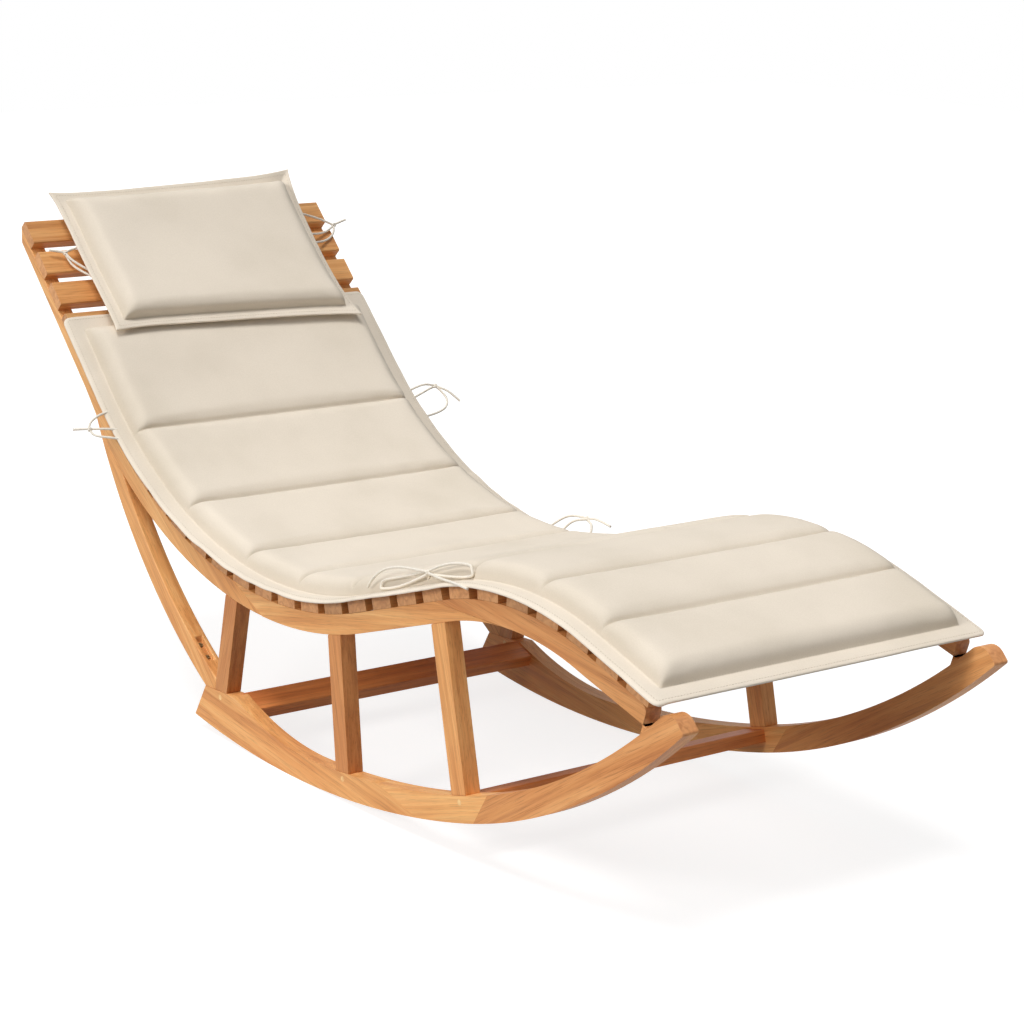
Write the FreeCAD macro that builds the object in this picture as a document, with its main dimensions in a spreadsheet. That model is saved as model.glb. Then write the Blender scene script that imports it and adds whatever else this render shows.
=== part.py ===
import FreeCAD, Part
import math
import os

V = FreeCAD.Vector

# Driving dimensions, in millimetres and degrees
SIZES = [
    ("slat_length", 600.0, "length of a slat, which is the width of the lounge"),
    ("slat_width", 47.0, "width of a slat along the rail"),
    ("slat_thickness", 18.0, "thickness of a slat"),
    ("slat_edge", 3.0, "rounding of a slat's long edges"),
    ("slat_count", 29, "slats from the head to the foot"),
    ("seat_gap", 0.2, "glue line between a slat and the rails"),
    ("frame_thickness", 27.0, "thickness of rails, stays, posts and runners"),
    ("back_angle", 47.0, "slope of the back"),
    ("back_length", 366.3, "straight part of the back"),
    ("seat_radius", 772.2, "hollow of the seat, along the rail's top edge"),
    ("rise_angle", 15.7, "slope up to the knees"),
    ("rise_length", 225.3, "straight part below the knees"),
    ("knee_radius", 524.7, "crown at the knees"),
    ("foot_angle", 19.8, "slope down to the feet"),
    ("foot_length", 134.3, "straight part at the feet"),
    ("rail_depth", 31.0, "depth of a rail from the seat to the knees"),
    ("rail_head_depth", 18.0, "depth of a rail at the head"),
    ("rail_foot_depth", 26.0, "depth of a rail at its foot end"),
    ("flare_start", 330.0, "place along the back where the rail starts to deepen"),
    ("flare_end", 451.0, "place along the rail where it has its full depth"),
    ("rail_nose", 11.0, "rounding of the rail's foot end"),
    ("rail_end_depth", 41.0, "leg rail's end, from its top edge down to the runner"),
    ("head_height", 783.2, "height of the rail's head end"),
    ("head_reach", 905.8, "distance of the head end behind the floor contact"),
    ("contact_place", -29.9, "floor contact of the runners, measured along the lounge"),
    ("rest_lean", 2.76, "lean of the empty lounge, which brings its weight over the floor contact"),
    ("roll_radius", 1750.0, "runner's underside from the heel to the front post"),
    ("heel_reach", 357.0, "heel of the runner behind the floor contact"),
    ("tip_join", 372.0, "change of radius in front of the floor contact"),
    ("tip_overhang", 79.0, "runner in front of the leg rail's end, along its underside"),
    ("runner_depth", 40.0, "depth of a runner"),
    ("heel_height", 91.0, "top of the runner's heel above the floor"),
    ("heel_lean", 34.0, "how far the heel's end leans out at the bottom"),
    ("heel_flat", 88.0, "flat top of the heel"),
    ("heel_hollow", 560.0, "radius from the heel's flat top down to the runner"),
    ("tip_round", 24.0, "rounding of the runner's tip, above"),
    ("tip_ease", 4.0, "rounding of the runner's tip, below"),
    ("stay_radius", 950.0, "outer curve of the back stay"),
    ("stay_depth", 34.0, "depth of the back stay"),
    ("stay_place", 0.42, "where the stay leaves the rail's flare, as a share of it"),
    ("post_width", 34.0, "width of a post"),
    ("rear_post_foot", 276.0, "rear post's foot, behind the floor contact"),
    ("rear_post_top", 858.0, "rear post's top, as a place along the rail"),
    ("middle_post_foot", 71.0, "middle post's foot, in front of the floor contact"),
    ("middle_post_top", 1140.0, "middle post's top, as a place along the rail"),
    ("front_post_foot", 368.0, "front post's foot, in front of the floor contact"),
    ("front_post_top", 1413.0, "front post's top, as a place along the rail"),
    ("tenon_thickness", 9.0, "thickness of a post's tenons"),
    ("tenon_shoulder", 5.0, "shoulder at each side of a tenon"),
    ("tenon_length", 20.0, "length of a post's tenons"),
    ("peg_diameter", 9.0, "pegs through the posts' lower tenons"),
    ("short_peg", 16.5, "length of the front posts' pegs, which stop at the stretcher"),
    ("board_width", 47.0, "width of a stretcher board"),
    ("board_thickness", 20.0, "thickness of a stretcher board"),
    ("board_edge", 2.5, "rounding of a stretcher's long edges"),
    ("board_tenon", 8.0, "how far a stretcher is let into the runners"),
    ("rear_board_gap", 12.0, "from the heel's flat top to the middle of the rear stretcher"),
    ("rear_board_sink", 2.0, "rear stretcher's top face above the heel's hollow"),
    ("front_board_gap", 9.0, "from the front post's foot back to the middle of the front stretcher"),
    ("front_board_sink", 3.0, "front stretcher's top face above the runner"),
    ("recess_depth", 8.0, "depth of the screw recess in a stay"),
    ("recess_width", 13.0, "width of the screw recess in a stay"),
    ("recess_length", 56.0, "length of the screw recess in a stay"),
    ("recess_place", 66.0, "middle of the recess above the stay's foot"),
    ("cushion_width", 586.0, "width of the long cushion with its flanges"),
    ("cushion_start", 211.0, "top edge of the cushion, measured along the rail"),
    ("cushion_length", 1706.0, "length of the cushion along the slats"),
    ("cushion_height", 34.0, "height of a stuffed panel"),
    ("channel_height", 15.0, "height of the cushion at a sewn channel"),
    ("crown_shoulder", 34.0, "from the sewn edge to where the crown is nearly full"),
    ("flange_width", 40.0, "flat sewn edge round the cushion and the pillow"),
    ("flange_thickness", 5.0, "thickness of the sewn edge"),
    ("first_channel", 262.0, "first sewn channel from the cushion's top edge"),
    ("channel_pitch", 163.0, "distance from one sewn channel to the next"),
    ("channel_count", 9, "sewn channels across the cushion"),
    ("draw_in", 2.0, "how far the sewn edge draws in at a channel"),
    ("soft_gap", 0.6, "gap between a soft piece and what it lies on"),
    ("pillow_width", 490.0, "width of the head pillow"),
    ("pillow_length", 305.0, "length of the head pillow"),
    ("pillow_height", 42.0, "thickness of the head pillow"),
    ("pillow_reach", 39.0, "how far the pillow stands above the top slat"),
    ("pillow_tilt", 0.05, "how much the pillow leans on the cushion's top edge"),
    ("cord_diameter", 4.0, "thickness of a tie cord"),
    ("cord_sides", 6, "flat sides of a cord's section"),
    ("knot_diameter", 9.0, "size of a tie's knot"),
    ("loop_spread", 1.3, "how far the strands' ends stand from a knot's middle"),
]

doc = FreeCAD.newDocument("rocking_chaise_lounge")
sheet = doc.addObject("Spreadsheet::Sheet", "sizes")
for row, (alias, value, note) in enumerate(SIZES, start=1):
    sheet.set("A%d" % row, alias)
    sheet.set("B%d" % row, str(value))
    sheet.set("C%d" % row, note)
    sheet.setAlias("B%d" % row, alias)
doc.recompute()


def size(alias):
    """A driving dimension as it stands in the sheet."""
    return float(getattr(sheet, alias))


# Side view: a track of straights and arcs, in the plane of X and Z


class Track:
    """Straights and arcs in the side view. A positive radius turns left, which is upwards here."""

    def __init__(self, start, heading, parts):
        self.parts = []
        x, z = start
        place = 0.0
        for length, radius in parts:
            self.parts.append((place, length, radius, x, z, heading))
            x, z, heading = self.step(x, z, heading, length, radius)
            place += length
        self.length = place
        self.knots = [part[0] for part in self.parts] + [place]

    @staticmethod
    def step(x, z, heading, length, radius):
        if radius == 0:
            return x + length * math.cos(heading), z + length * math.sin(heading), heading
        turned = heading + length / radius
        x += radius * (math.sin(turned) - math.sin(heading))
        z -= radius * (math.cos(turned) - math.cos(heading))
        return x, z, turned

    def at(self, place, side=0.0):
        """Point and heading at a length along the track, moved to its left by side."""
        chosen = self.parts[0]
        for part in self.parts:
            if place >= part[0]:
                chosen = part
        begin, _, radius, x, z, heading = chosen
        x, z, heading = self.step(x, z, heading, place - begin, radius)
        return (x - side * math.sin(heading), z + side * math.cos(heading)), heading

    def point(self, place, side=0.0):
        return self.at(place, side)[0]

    def centre(self, index):
        """Centre of one of the track's arcs."""
        _, _, radius, x, z, heading = self.parts[index]
        return x - radius * math.sin(heading), z + radius * math.cos(heading)

    def run(self, begin, end, side=0.0):
        """The lines and arcs from one place to another, in either direction."""
        low, high = min(begin, end), max(begin, end)
        stops = [low] + [k for k in self.knots if low + 1e-6 < k < high - 1e-6] + [high]
        pieces = []
        for one, two in zip(stops, stops[1:]):
            middle = (one + two) / 2
            radius = [part[2] for part in self.parts if part[0] <= middle][-1]
            if radius == 0:
                pieces.append([self.point(one, side), self.point(two, side)])
            else:
                pieces.append([self.point(one, side), self.point(middle, side), self.point(two, side)])
        if begin > end:
            pieces = [piece[::-1] for piece in pieces[::-1]]
        return pieces


def circle_line(centre, radius, start, direction, far=False):
    """Where a line meets a circle: the first crossing along the line, or the second."""
    dx, dz = start[0] - centre[0], start[1] - centre[1]
    ux, uz = direction
    b = dx * ux + dz * uz
    root = math.sqrt(b * b - (dx * dx + dz * dz - radius * radius))
    t = -b + root if far else -b - root
    return start[0] + t * ux, start[1] + t * uz


def circle_circle(one, radius_one, two, radius_two):
    """The two points where two circles cross, the upper one first."""
    dx, dz = two[0] - one[0], two[1] - one[1]
    gap = math.hypot(dx, dz)
    along = (radius_one ** 2 - radius_two ** 2 + gap * gap) / (2 * gap)
    across = math.sqrt(radius_one ** 2 - along * along)
    x, z = one[0] + along * dx / gap, one[1] + along * dz / gap
    found = [
        (x - across * dz / gap, z + across * dx / gap),
        (x + across * dz / gap, z - across * dx / gap),
    ]
    return sorted(found, key=lambda p: -p[1])


def arc_between(centre, radius, start, end):
    """The short arc round a centre from one point to another."""
    one = math.atan2(start[1] - centre[1], start[0] - centre[0])
    two = math.atan2(end[1] - centre[1], end[0] - centre[0])
    turn = (two - one + math.pi) % (2 * math.pi) - math.pi
    middle = one + turn / 2
    return [start, (centre[0] + radius * math.cos(middle), centre[1] + radius * math.sin(middle)), end]


def unit(p, q):
    length = math.hypot(q[0] - p[0], q[1] - p[1])
    return (q[0] - p[0]) / length, (q[1] - p[1]) / length


def moved(p, direction, distance):
    return p[0] + direction[0] * distance, p[1] + direction[1] * distance


# Bodies: an outline in the side view, padded across the lounge


def outline_sketch(body, name, pieces):
    """A sketch on the body's own XZ plane from lines (two points) and arcs (three points)."""
    sketch = body.newObject("Sketcher::SketchObject", name)
    plane = [f for f in body.Origin.OriginFeatures if f.Role == "XZ_Plane"][0]
    sketch.AttachmentSupport = [(plane, "")]
    sketch.MapMode = "FlatFace"
    for piece in pieces:
        points = [V(x, z, 0) for x, z in piece]
        if len(points) == 2:
            sketch.addGeometry(Part.LineSegment(points[0], points[1]), False)
        else:
            sketch.addGeometry(Part.Arc(points[0], points[1], points[2]), False)
    return sketch


def padded_body(name, pieces, length, midplane=False):
    """A named body: the outline padded towards -Y, or both ways from the middle."""
    body = doc.addObject("PartDesign::Body", name)
    body.Label = name
    pad = body.newObject("PartDesign::Pad", name + "_pad")
    pad.Profile = outline_sketch(body, name + "_outline", pieces)
    pad.setExpression("Length", length)
    pad.Midplane = midplane
    return body


def add_pad(body, name, pieces, length):
    """A tongue in the middle of the body's thickness."""
    pad = body.newObject("PartDesign::Pad", name)
    sketch = outline_sketch(body, name + "_outline", pieces)
    sketch.setExpression("AttachmentOffset.Base.z", "(sizes.frame_thickness - %s) / 2" % length)
    pad.Profile = sketch
    pad.setExpression("Length", length)


def add_pocket(body, name, pieces, length):
    """A slot in the middle of the body's thickness, or right through it."""
    sketch = outline_sketch(body, name + "_outline", pieces)
    sketch.setExpression("AttachmentOffset.Base.z", "(sizes.frame_thickness - %s) / 2" % length)
    pocket = body.newObject("PartDesign::Pocket", name)
    pocket.Profile = sketch
    pocket.Reversed = True
    pocket.setExpression("Length", length)


def circle_pieces(middle, radius):
    """A circle as two half arcs."""
    x, z = middle
    left, right = (x - radius, z), (x + radius, z)
    return [[left, (x, z + radius), right], [right, (x, z - radius), left]]


SIDES = {
    "right": "-sizes.slat_length / 2 + sizes.frame_thickness",
    "left": "sizes.slat_length / 2",
}
NODES = []


def side_pair(name, build):
    """The same body at both sides of the lounge. The right side is at -Y."""
    for side, place in SIDES.items():
        body = build("%s_%s" % (name, side))
        body.setExpression("Placement.Base.y", place)
        NODES.append(body)


# The rail's top edge, from the head to the foot

thickness = size("frame_thickness")
contact = size("contact_place")
back_angle, rise_angle, foot_angle = (
    math.radians(size(a)) for a in ("back_angle", "rise_angle", "foot_angle")
)
head = (contact - size("head_reach"), size("head_height"))
rail = Track(
    head,
    -back_angle,
    [
        (size("back_length"), 0),
        ((back_angle + rise_angle) * size("seat_radius"), size("seat_radius")),
        (size("rise_length"), 0),
        ((rise_angle + foot_angle) * size("knee_radius"), -size("knee_radius")),
        (size("foot_length"), 0),
    ],
)
knee_end = rail.knots[4]
depth = size("rail_depth")

# The runner's underside, from the heel to the tip. The tip's arc carries the leg rail's end.

roll = size("roll_radius")
runner_depth = size("runner_depth")
heel_turn = math.asin(size("heel_reach") / roll)
join_turn = math.asin(size("tip_join") / roll)
heel_low = (contact - size("heel_reach"), roll * (1 - math.cos(heel_turn)))
join = (contact + size("tip_join"), roll * (1 - math.cos(join_turn)))
join_inwards = (-math.sin(join_turn), math.cos(join_turn))
rail_end, rail_end_heading = rail.at(rail.length)
rail_end_square = (math.sin(rail_end_heading), -math.cos(rail_end_heading))
rail_end_seat = moved(rail_end, rail_end_square, size("rail_end_depth"))


def carrying_radius(start, inwards, seat, offset):
    """Radius of an arc from start, square to inwards there, that passes outside a seat by an offset."""
    dx, dz = seat[0] - start[0], seat[1] - start[1]
    rise = dx * inwards[0] + dz * inwards[1]
    return (dx * dx + dz * dz - offset * offset) / (2 * (rise - offset))


tip = carrying_radius(join, join_inwards, rail_end_seat, runner_depth)
tip_centre = moved(join, join_inwards, tip)
seat_turn = math.atan2(rail_end_seat[0] - tip_centre[0], tip_centre[1] - rail_end_seat[1]) - join_turn
runner = Track(
    heel_low,
    -heel_turn,
    [
        ((heel_turn + join_turn) * roll, roll),
        (seat_turn * tip + size("tip_overhang"), tip),
    ],
)
roll_centre = runner.centre(0)

# Rail outlines

flare_low = rail.point(size("flare_start"), -size("rail_head_depth"))
flare_high = rail.point(size("flare_end"), -depth)
seat_centre = rail.centre(1)
seat_reach = size("seat_radius") + depth


def rail_back_outline(top_end, low_end):
    head_low = rail.point(size("rail_head_depth"), -size("rail_head_depth"))
    return (
        rail.run(0, top_end)
        + [[rail.point(top_end), rail.point(low_end, -depth)]]
        + rail.run(low_end, size("flare_end"), -depth)
        + [[flare_high, flare_low], [flare_low, head_low], [head_low, rail.point(0)]]
    )


def rail_seat_outline(top_start, low_start, top_end, low_end):
    return (
        rail.run(top_start, top_end)
        + [[rail.point(top_end), rail.point(low_end, -depth)]]
        + rail.run(low_end, low_start, -depth)
        + [[rail.point(low_start, -depth), rail.point(top_start)]]
    )


def rail_leg_outline(top_start, low_start):
    """The leg rail ends on the runner, with a rounded nose above."""
    seat = tip - runner_depth
    nose = size("rail_nose")
    foot_low = rail.point(rail.length, -size("rail_foot_depth"))
    knee_low = rail.point(knee_end, -depth)
    under = circle_line(tip_centre, seat, knee_low, unit(knee_low, foot_low), far=True)
    nose_start = rail.point(rail.length - nose)
    nose_end = moved(rail_end, rail_end_square, nose)
    bulge = nose * (1 - math.sqrt(0.5))
    nose_middle = rail.point(rail.length - bulge, -bulge)
    return (
        rail.run(top_start, rail.length - nose)
        + [[nose_start, nose_middle, nose_end], [nose_end, rail_end_seat]]
        + [arc_between(tip_centre, seat, rail_end_seat, under)]
        + [[under, knee_low]]
        + rail.run(knee_end, low_start, -depth)
        + [[rail.point(low_start, -depth), rail.point(top_start)]]
    )


# Scarf joints between the lengths of timber, as places along the rail's top and lower edges

SEAT_SCARF = (859.0, 946.0)
KNEE_SCARF = (1412.0, 1606.0)

# Posts: places of the middle lines along the runner's and the rail's edges


class Post:
    """A post from the runner's top edge to the rail's lower edge."""

    def __init__(self, name, foot, top):
        self.name = name
        self.foot = foot
        self.top = top
        self.up = unit(foot, top)
        self.side = (self.up[1], -self.up[0])

    def edge(self, share):
        """A point on the middle line's level at the rear edge (-1) or the front edge (1)."""
        return moved(self.foot, self.side, share * size("post_width") / 2)


def seat_crossing(post, share):
    """Where a post's edge meets the rail's lower edge below the seat."""
    return circle_line(seat_centre, seat_reach, post.edge(share), post.up, far=False)


def rise_crossing(post, share):
    """Where a post's edge meets the straight part of the rail's lower edge."""
    start, heading = rail.at(rail.knots[2] + 1.0, -depth)
    edge = post.edge(share)
    dx, dz = edge[0] - start[0], edge[1] - start[1]
    ux, uz = math.cos(heading), math.sin(heading)
    wx, wz = post.up
    t = (dz * ux - dx * uz) / (wx * uz - wz * ux)
    return moved(edge, post.up, t)


def roll_crossing(post, share):
    """Where a post's edge meets the runner's top edge."""
    down = (-post.up[0], -post.up[1])
    return circle_line(roll_centre, roll - runner_depth, post.edge(share), down, far=True)


heel_top_end = (heel_low[0] + size("heel_lean") + size("heel_flat"), size("heel_height"))
heel_top_start = (heel_low[0] + size("heel_lean"), size("heel_height"))


def runner_top(reach):
    """A point of the runner's top edge, at a distance in front of the floor contact."""
    return contact + reach, roll - math.sqrt((roll - runner_depth) ** 2 - reach ** 2)


rear_post = Post(
    "rear_post",
    (contact - size("rear_post_foot"), size("heel_height")),
    rail.point(size("rear_post_top"), -depth),
)
middle_post = Post(
    "middle_post",
    runner_top(size("middle_post_foot")),
    rail.point(size("middle_post_top"), -depth),
)
front_post = Post(
    "front_post",
    runner_top(size("front_post_foot")),
    rail.point(size("front_post_top"), -depth),
)


def heel_crossing(post, share):
    """Where a post's edge meets the heel's flat top."""
    edge = post.edge(share)
    return moved(edge, post.up, (size("heel_height") - edge[1]) / post.up[1])


def tenon(corner_rear, corner_front, direction):
    """The outline of a tenon between two shoulders, square to the post's end."""
    shoulder, length = size("tenon_shoulder"), size("tenon_length")
    across = unit(corner_rear, corner_front)
    one = moved(corner_rear, across, shoulder)
    two = moved(corner_front, across, -shoulder)
    return [one, moved(one, direction, length), moved(two, direction, length), two]


def closed(points):
    return [[p, q] for p, q in zip(points, points[1:] + points[:1])]


POSTS = []
for post, foot_at, top_at in (
    (rear_post, heel_crossing, seat_crossing),
    (middle_post, roll_crossing, seat_crossing),
    (front_post, roll_crossing, rise_crossing),
):
    corners = [foot_at(post, -1), foot_at(post, 1), top_at(post, 1), top_at(post, -1)]
    down = (-post.up[0], -post.up[1])
    foot_edge = [corners[0], corners[1]]
    top_edge = [corners[2], corners[3]]
    if foot_at is roll_crossing:
        foot_edge = arc_between(roll_centre, roll - runner_depth, corners[0], corners[1])
    if top_at is seat_crossing:
        top_edge = arc_between(seat_centre, seat_reach, corners[2], corners[3])
    post.outline = [foot_edge, [corners[1], corners[2]], top_edge, [corners[3], corners[0]]]
    post.foot_tenon = tenon(corners[0], corners[1], down)
    post.top_tenon = tenon(corners[3], corners[2], post.up)
    middle = ((corners[0][0] + corners[1][0]) / 2, (corners[0][1] + corners[1][1]) / 2)
    post.peg = moved(middle, down, size("tenon_length") / 2)
    POSTS.append(post)


def overlapping(points, direction):
    """A tenon's outline with its root moved into the wood that it grows from."""
    root = 1.0
    return [moved(points[0], direction, -root)] + points[1:3] + [moved(points[3], direction, -root)]


def build_post(post):
    def build(name):
        body = padded_body(name, post.outline, "sizes.frame_thickness")
        down = (-post.up[0], -post.up[1])
        foot = closed(overlapping(post.foot_tenon, down))
        add_pad(body, name + "_foot_tenon", foot, "sizes.tenon_thickness")
        top = closed(overlapping(post.top_tenon, post.up))
        add_pad(body, name + "_top_tenon", top, "sizes.tenon_thickness")
        hole = circle_pieces(post.peg, size("peg_diameter") / 2)
        add_pocket(body, name + "_peg_hole", hole, "sizes.frame_thickness")
        return body

    return build


def mortises(body, name, tenons):
    """Slots for the tenons that a timber takes, opened at its edge."""
    for number, (points, direction) in enumerate(tenons):
        slot = closed(overlapping(points, direction))
        add_pocket(body, "%s_mortise_%d" % (name, number), slot, "sizes.tenon_thickness")


def timber(outline, tenons=(), pegs=(), extra=None):
    """A length of frame timber with its mortises and peg holes."""

    def build(name):
        body = padded_body(name, outline, "sizes.frame_thickness")
        mortises(body, name, tenons)
        for number, peg in enumerate(pegs):
            hole = circle_pieces(peg, size("peg_diameter") / 2)
            add_pocket(body, "%s_peg_%d" % (name, number), hole, "sizes.frame_thickness")
        if extra:
            extra(body, name)
        return body

    return build


# Rails

seat_tenons = [(p.top_tenon, p.up) for p in (rear_post, middle_post, front_post)]
rear_on_back = rear_post.top[0] < rail.point(SEAT_SCARF[0])[0]
back_tenons = seat_tenons[:1] if rear_on_back else []
middle_tenons = seat_tenons[1:] if rear_on_back else seat_tenons
side_pair("rail_back", timber(rail_back_outline(*SEAT_SCARF), back_tenons))
side_pair("rail_seat", timber(rail_seat_outline(*SEAT_SCARF, *KNEE_SCARF), middle_tenons))
side_pair("rail_leg", timber(rail_leg_outline(*KNEE_SCARF)))

# Back stays: an arc from the rail's flare to the heel's rear corner

stay_share = size("stay_place") * math.dist(flare_low, flare_high)
stay_top = moved(flare_low, unit(flare_low, flare_high), stay_share)
stay_radius = size("stay_radius")
chord_middle = ((stay_top[0] + heel_top_start[0]) / 2, (stay_top[1] + heel_top_start[1]) / 2)
chord = unit(stay_top, heel_top_start)
half_chord = math.dist(stay_top, heel_top_start) / 2
stay_centre = moved(chord_middle, (-chord[1], chord[0]), math.sqrt(stay_radius ** 2 - half_chord ** 2))
stay_inner = stay_radius - size("stay_depth")
stay_fork = circle_circle(stay_centre, stay_inner, seat_centre, seat_reach)[1]
stay_on_post = circle_line(stay_centre, stay_inner, heel_crossing(rear_post, -1), rear_post.up, far=False)
if stay_on_post[1] < size("heel_height"):
    stay_on_post = circle_line(stay_centre, stay_inner, heel_crossing(rear_post, -1), rear_post.up, far=True)
stay_outline = [
    [stay_top, flare_high],
    arc_between(seat_centre, seat_reach, flare_high, stay_fork),
    arc_between(stay_centre, stay_inner, stay_fork, stay_on_post),
    [stay_on_post, heel_crossing(rear_post, -1)],
    [heel_crossing(rear_post, -1), heel_top_start],
    arc_between(stay_centre, stay_radius, heel_top_start, stay_top),
]


def stay_angle(distance):
    """The direction from the stay's centre to a place on its inner face, measured from its foot."""
    foot = math.atan2(stay_on_post[1] - stay_centre[1], stay_on_post[0] - stay_centre[0])
    return foot - distance / stay_inner


def stay_point(distance, inwards):
    angle = stay_angle(distance)
    reach = stay_inner + inwards
    return stay_centre[0] + reach * math.cos(angle), stay_centre[1] + reach * math.sin(angle)


def stay_recess(body, name):
    """The routed recess for the two screws on the stay's front face."""
    half = size("recess_length") / 2
    low, high = size("recess_place") - half, size("recess_place") + half
    floor = size("recess_depth")
    clear = 2.0
    ramp = floor
    points = [
        stay_point(low, -clear),
        stay_point(low + ramp, floor),
        stay_point(high - ramp, floor),
        stay_point(high, -clear),
    ]
    pieces = [
        [points[0], points[1]],
        arc_between(stay_centre, stay_inner + floor, points[1], points[2]),
        [points[2], points[3]],
        arc_between(stay_centre, stay_inner - clear, points[3], points[0]),
    ]
    add_pocket(body, name + "_recess", pieces, "sizes.recess_width")


side_pair("back_stay", timber(stay_outline, extra=stay_recess))

# Runners: heel, middle and tip lengths

RUNNER_SCARF = (529.0, 624.0)
TIP_SCARF = (812.0, 766.0)
hollow = size("heel_hollow")


def hollow_arc():
    """The arc from the heel's flat top down to the runner's upper edge."""
    ring = roll - runner_depth
    x, z = heel_top_end
    dx, dz = roll_centre[0] - x, roll_centre[1] - z
    reach = ring - hollow
    gap = math.hypot(dx, dz)
    along = (gap * gap + hollow * hollow - reach * reach) / (2 * gap)
    across = math.sqrt(hollow * hollow - along * along)
    centre = (x + along * dx / gap + across * dz / gap, z + along * dz / gap - across * dx / gap)
    out = unit(roll_centre, centre)
    touch = moved(roll_centre, out, ring)
    return centre, touch


hollow_centre, hollow_touch = hollow_arc()


def roll_place(point):
    """The length along the runner's first arc at which a point stands."""
    angle = math.atan2(point[0] - roll_centre[0], roll_centre[1] - point[1])
    return (angle + heel_turn) * roll


def runner_heel_outline():
    return (
        runner.run(0, RUNNER_SCARF[1])
        + [[runner.point(RUNNER_SCARF[1]), runner.point(RUNNER_SCARF[0], runner_depth)]]
        + runner.run(RUNNER_SCARF[0], roll_place(hollow_touch), runner_depth)
        + [arc_between(hollow_centre, hollow, hollow_touch, heel_top_end)]
        + [[heel_top_end, heel_top_start], [heel_top_start, heel_low]]
    )


def runner_middle_outline():
    return (
        runner.run(RUNNER_SCARF[1], TIP_SCARF[1])
        + [[runner.point(TIP_SCARF[1]), runner.point(TIP_SCARF[0], runner_depth)]]
        + runner.run(TIP_SCARF[0], RUNNER_SCARF[0], runner_depth)
        + [[runner.point(RUNNER_SCARF[0], runner_depth), runner.point(RUNNER_SCARF[1])]]
    )


def runner_tip_outline():
    """The tip is rounded above, where a hand holds it, and eased below."""
    end = runner.length
    upper, lower = size("tip_round"), size("tip_ease")
    upper_place = end - upper * tip / (tip - runner_depth)
    bulge = 1 - math.sqrt(0.5)
    back = bulge * upper * tip / (tip - runner_depth)
    upper_middle = runner.point(end - back, runner_depth - bulge * upper)
    lower_middle = runner.point(end - bulge * lower, bulge * lower)
    return (
        runner.run(TIP_SCARF[1], end - lower)
        + [[runner.point(end - lower), lower_middle, runner.point(end, lower)]]
        + [[runner.point(end, lower), runner.point(end, runner_depth - upper)]]
        + [[runner.point(end, runner_depth - upper), upper_middle, runner.point(upper_place, runner_depth)]]
        + runner.run(upper_place, TIP_SCARF[0], runner_depth)
        + [[runner.point(TIP_SCARF[0], runner_depth), runner.point(TIP_SCARF[1])]]
    )


foot_tenons = [(p.foot_tenon, (-p.up[0], -p.up[1])) for p in POSTS]


def board_outline(middle, heading, width, thick, edge):
    """A board's section with its upper corners rounded, its top face on the given point."""
    along = (math.cos(heading), math.sin(heading))
    down = (math.sin(heading), -math.cos(heading))
    half = width / 2

    def corner(a, b):
        return moved(moved(middle, along, a), down, b)

    bulge = edge * (1 - math.sqrt(0.5))
    return [
        [corner(-half + edge, 0), corner(half - edge, 0)],
        [corner(half - edge, 0), corner(half - bulge, bulge), corner(half, edge)],
        [corner(half, edge), corner(half, thick)],
        [corner(half, thick), corner(-half, thick)],
        [corner(-half, thick), corner(-half, edge)],
        [corner(-half, edge), corner(-half + bulge, bulge), corner(-half + edge, 0)],
    ]


# Stretchers lie along the runners' top edges, in front of the rear posts and under the front posts

rear_board_turn = math.asin((hollow_centre[0] - heel_top_end[0] - size("rear_board_gap")) / hollow)
rear_board_middle = (
    hollow_centre[0] - hollow * math.sin(rear_board_turn),
    hollow_centre[1] - hollow * math.cos(rear_board_turn) - size("rear_board_sink"),
)
rear_board = board_outline(
    rear_board_middle, -rear_board_turn, size("board_width"), size("board_thickness"), size("board_edge")
)
front_board_place = roll_place(front_post.foot) - size("front_board_gap")
front_board_middle, front_board_heading = runner.at(front_board_place, runner_depth - size("front_board_sink"))
front_board = board_outline(
    front_board_middle, front_board_heading, size("board_width"), size("board_thickness"), size("board_edge")
)


def board_mortise(pieces):
    """A stopped slot in a runner's inner face for a stretcher's end."""

    def cut(body, name):
        sketch = outline_sketch(body, name + "_board_outline", pieces)
        pocket = body.newObject("PartDesign::Pocket", name + "_board")
        pocket.Profile = sketch
        pocket.setExpression("Length", "sizes.board_tenon")
        if name.endswith("_right"):
            pocket.Reversed = True
        else:
            sketch.setExpression("AttachmentOffset.Base.z", "sizes.frame_thickness")

    return cut


side_pair(
    "runner_heel",
    timber(runner_heel_outline(), foot_tenons[:2], [p.peg for p in POSTS[:2]], board_mortise(rear_board)),
)
side_pair(
    "runner_middle",
    timber(runner_middle_outline(), foot_tenons[2:], [POSTS[2].peg], board_mortise(front_board)),
)
side_pair("runner_tip", timber(runner_tip_outline()))
for post in POSTS:
    side_pair(post.name, build_post(post))

# Stretchers

for name, pieces in (("rear_stretcher", rear_board), ("front_stretcher", front_board)):
    reach = "sizes.slat_length - 2 * sizes.frame_thickness + 2 * sizes.board_tenon"
    board = padded_body(name, pieces, reach, True)
    NODES.append(board)

# Slats

slat_width = size("slat_width")
slat_thickness = size("slat_thickness")
slat_count = int(size("slat_count"))
slat_pitch = (rail.length - slat_width) / (slat_count - 1)
slat_section = board_outline((0, slat_thickness), 0.0, slat_width, slat_thickness, size("slat_edge"))


def slat_seat(place):
    """Where a slat's underside stands above the rail: a hollow touches its edges."""
    (x, z), heading = rail.at(place)
    ends = [rail.point(place - slat_width / 2), rail.point(place + slat_width / 2)]
    chord_z = [(-(p[0] - x) * math.sin(heading) + (p[1] - z) * math.cos(heading)) for p in ends]
    lift = max(0.0, max(chord_z)) + size("seat_gap")
    return moved((x, z), (-math.sin(heading), math.cos(heading)), lift), heading


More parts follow.
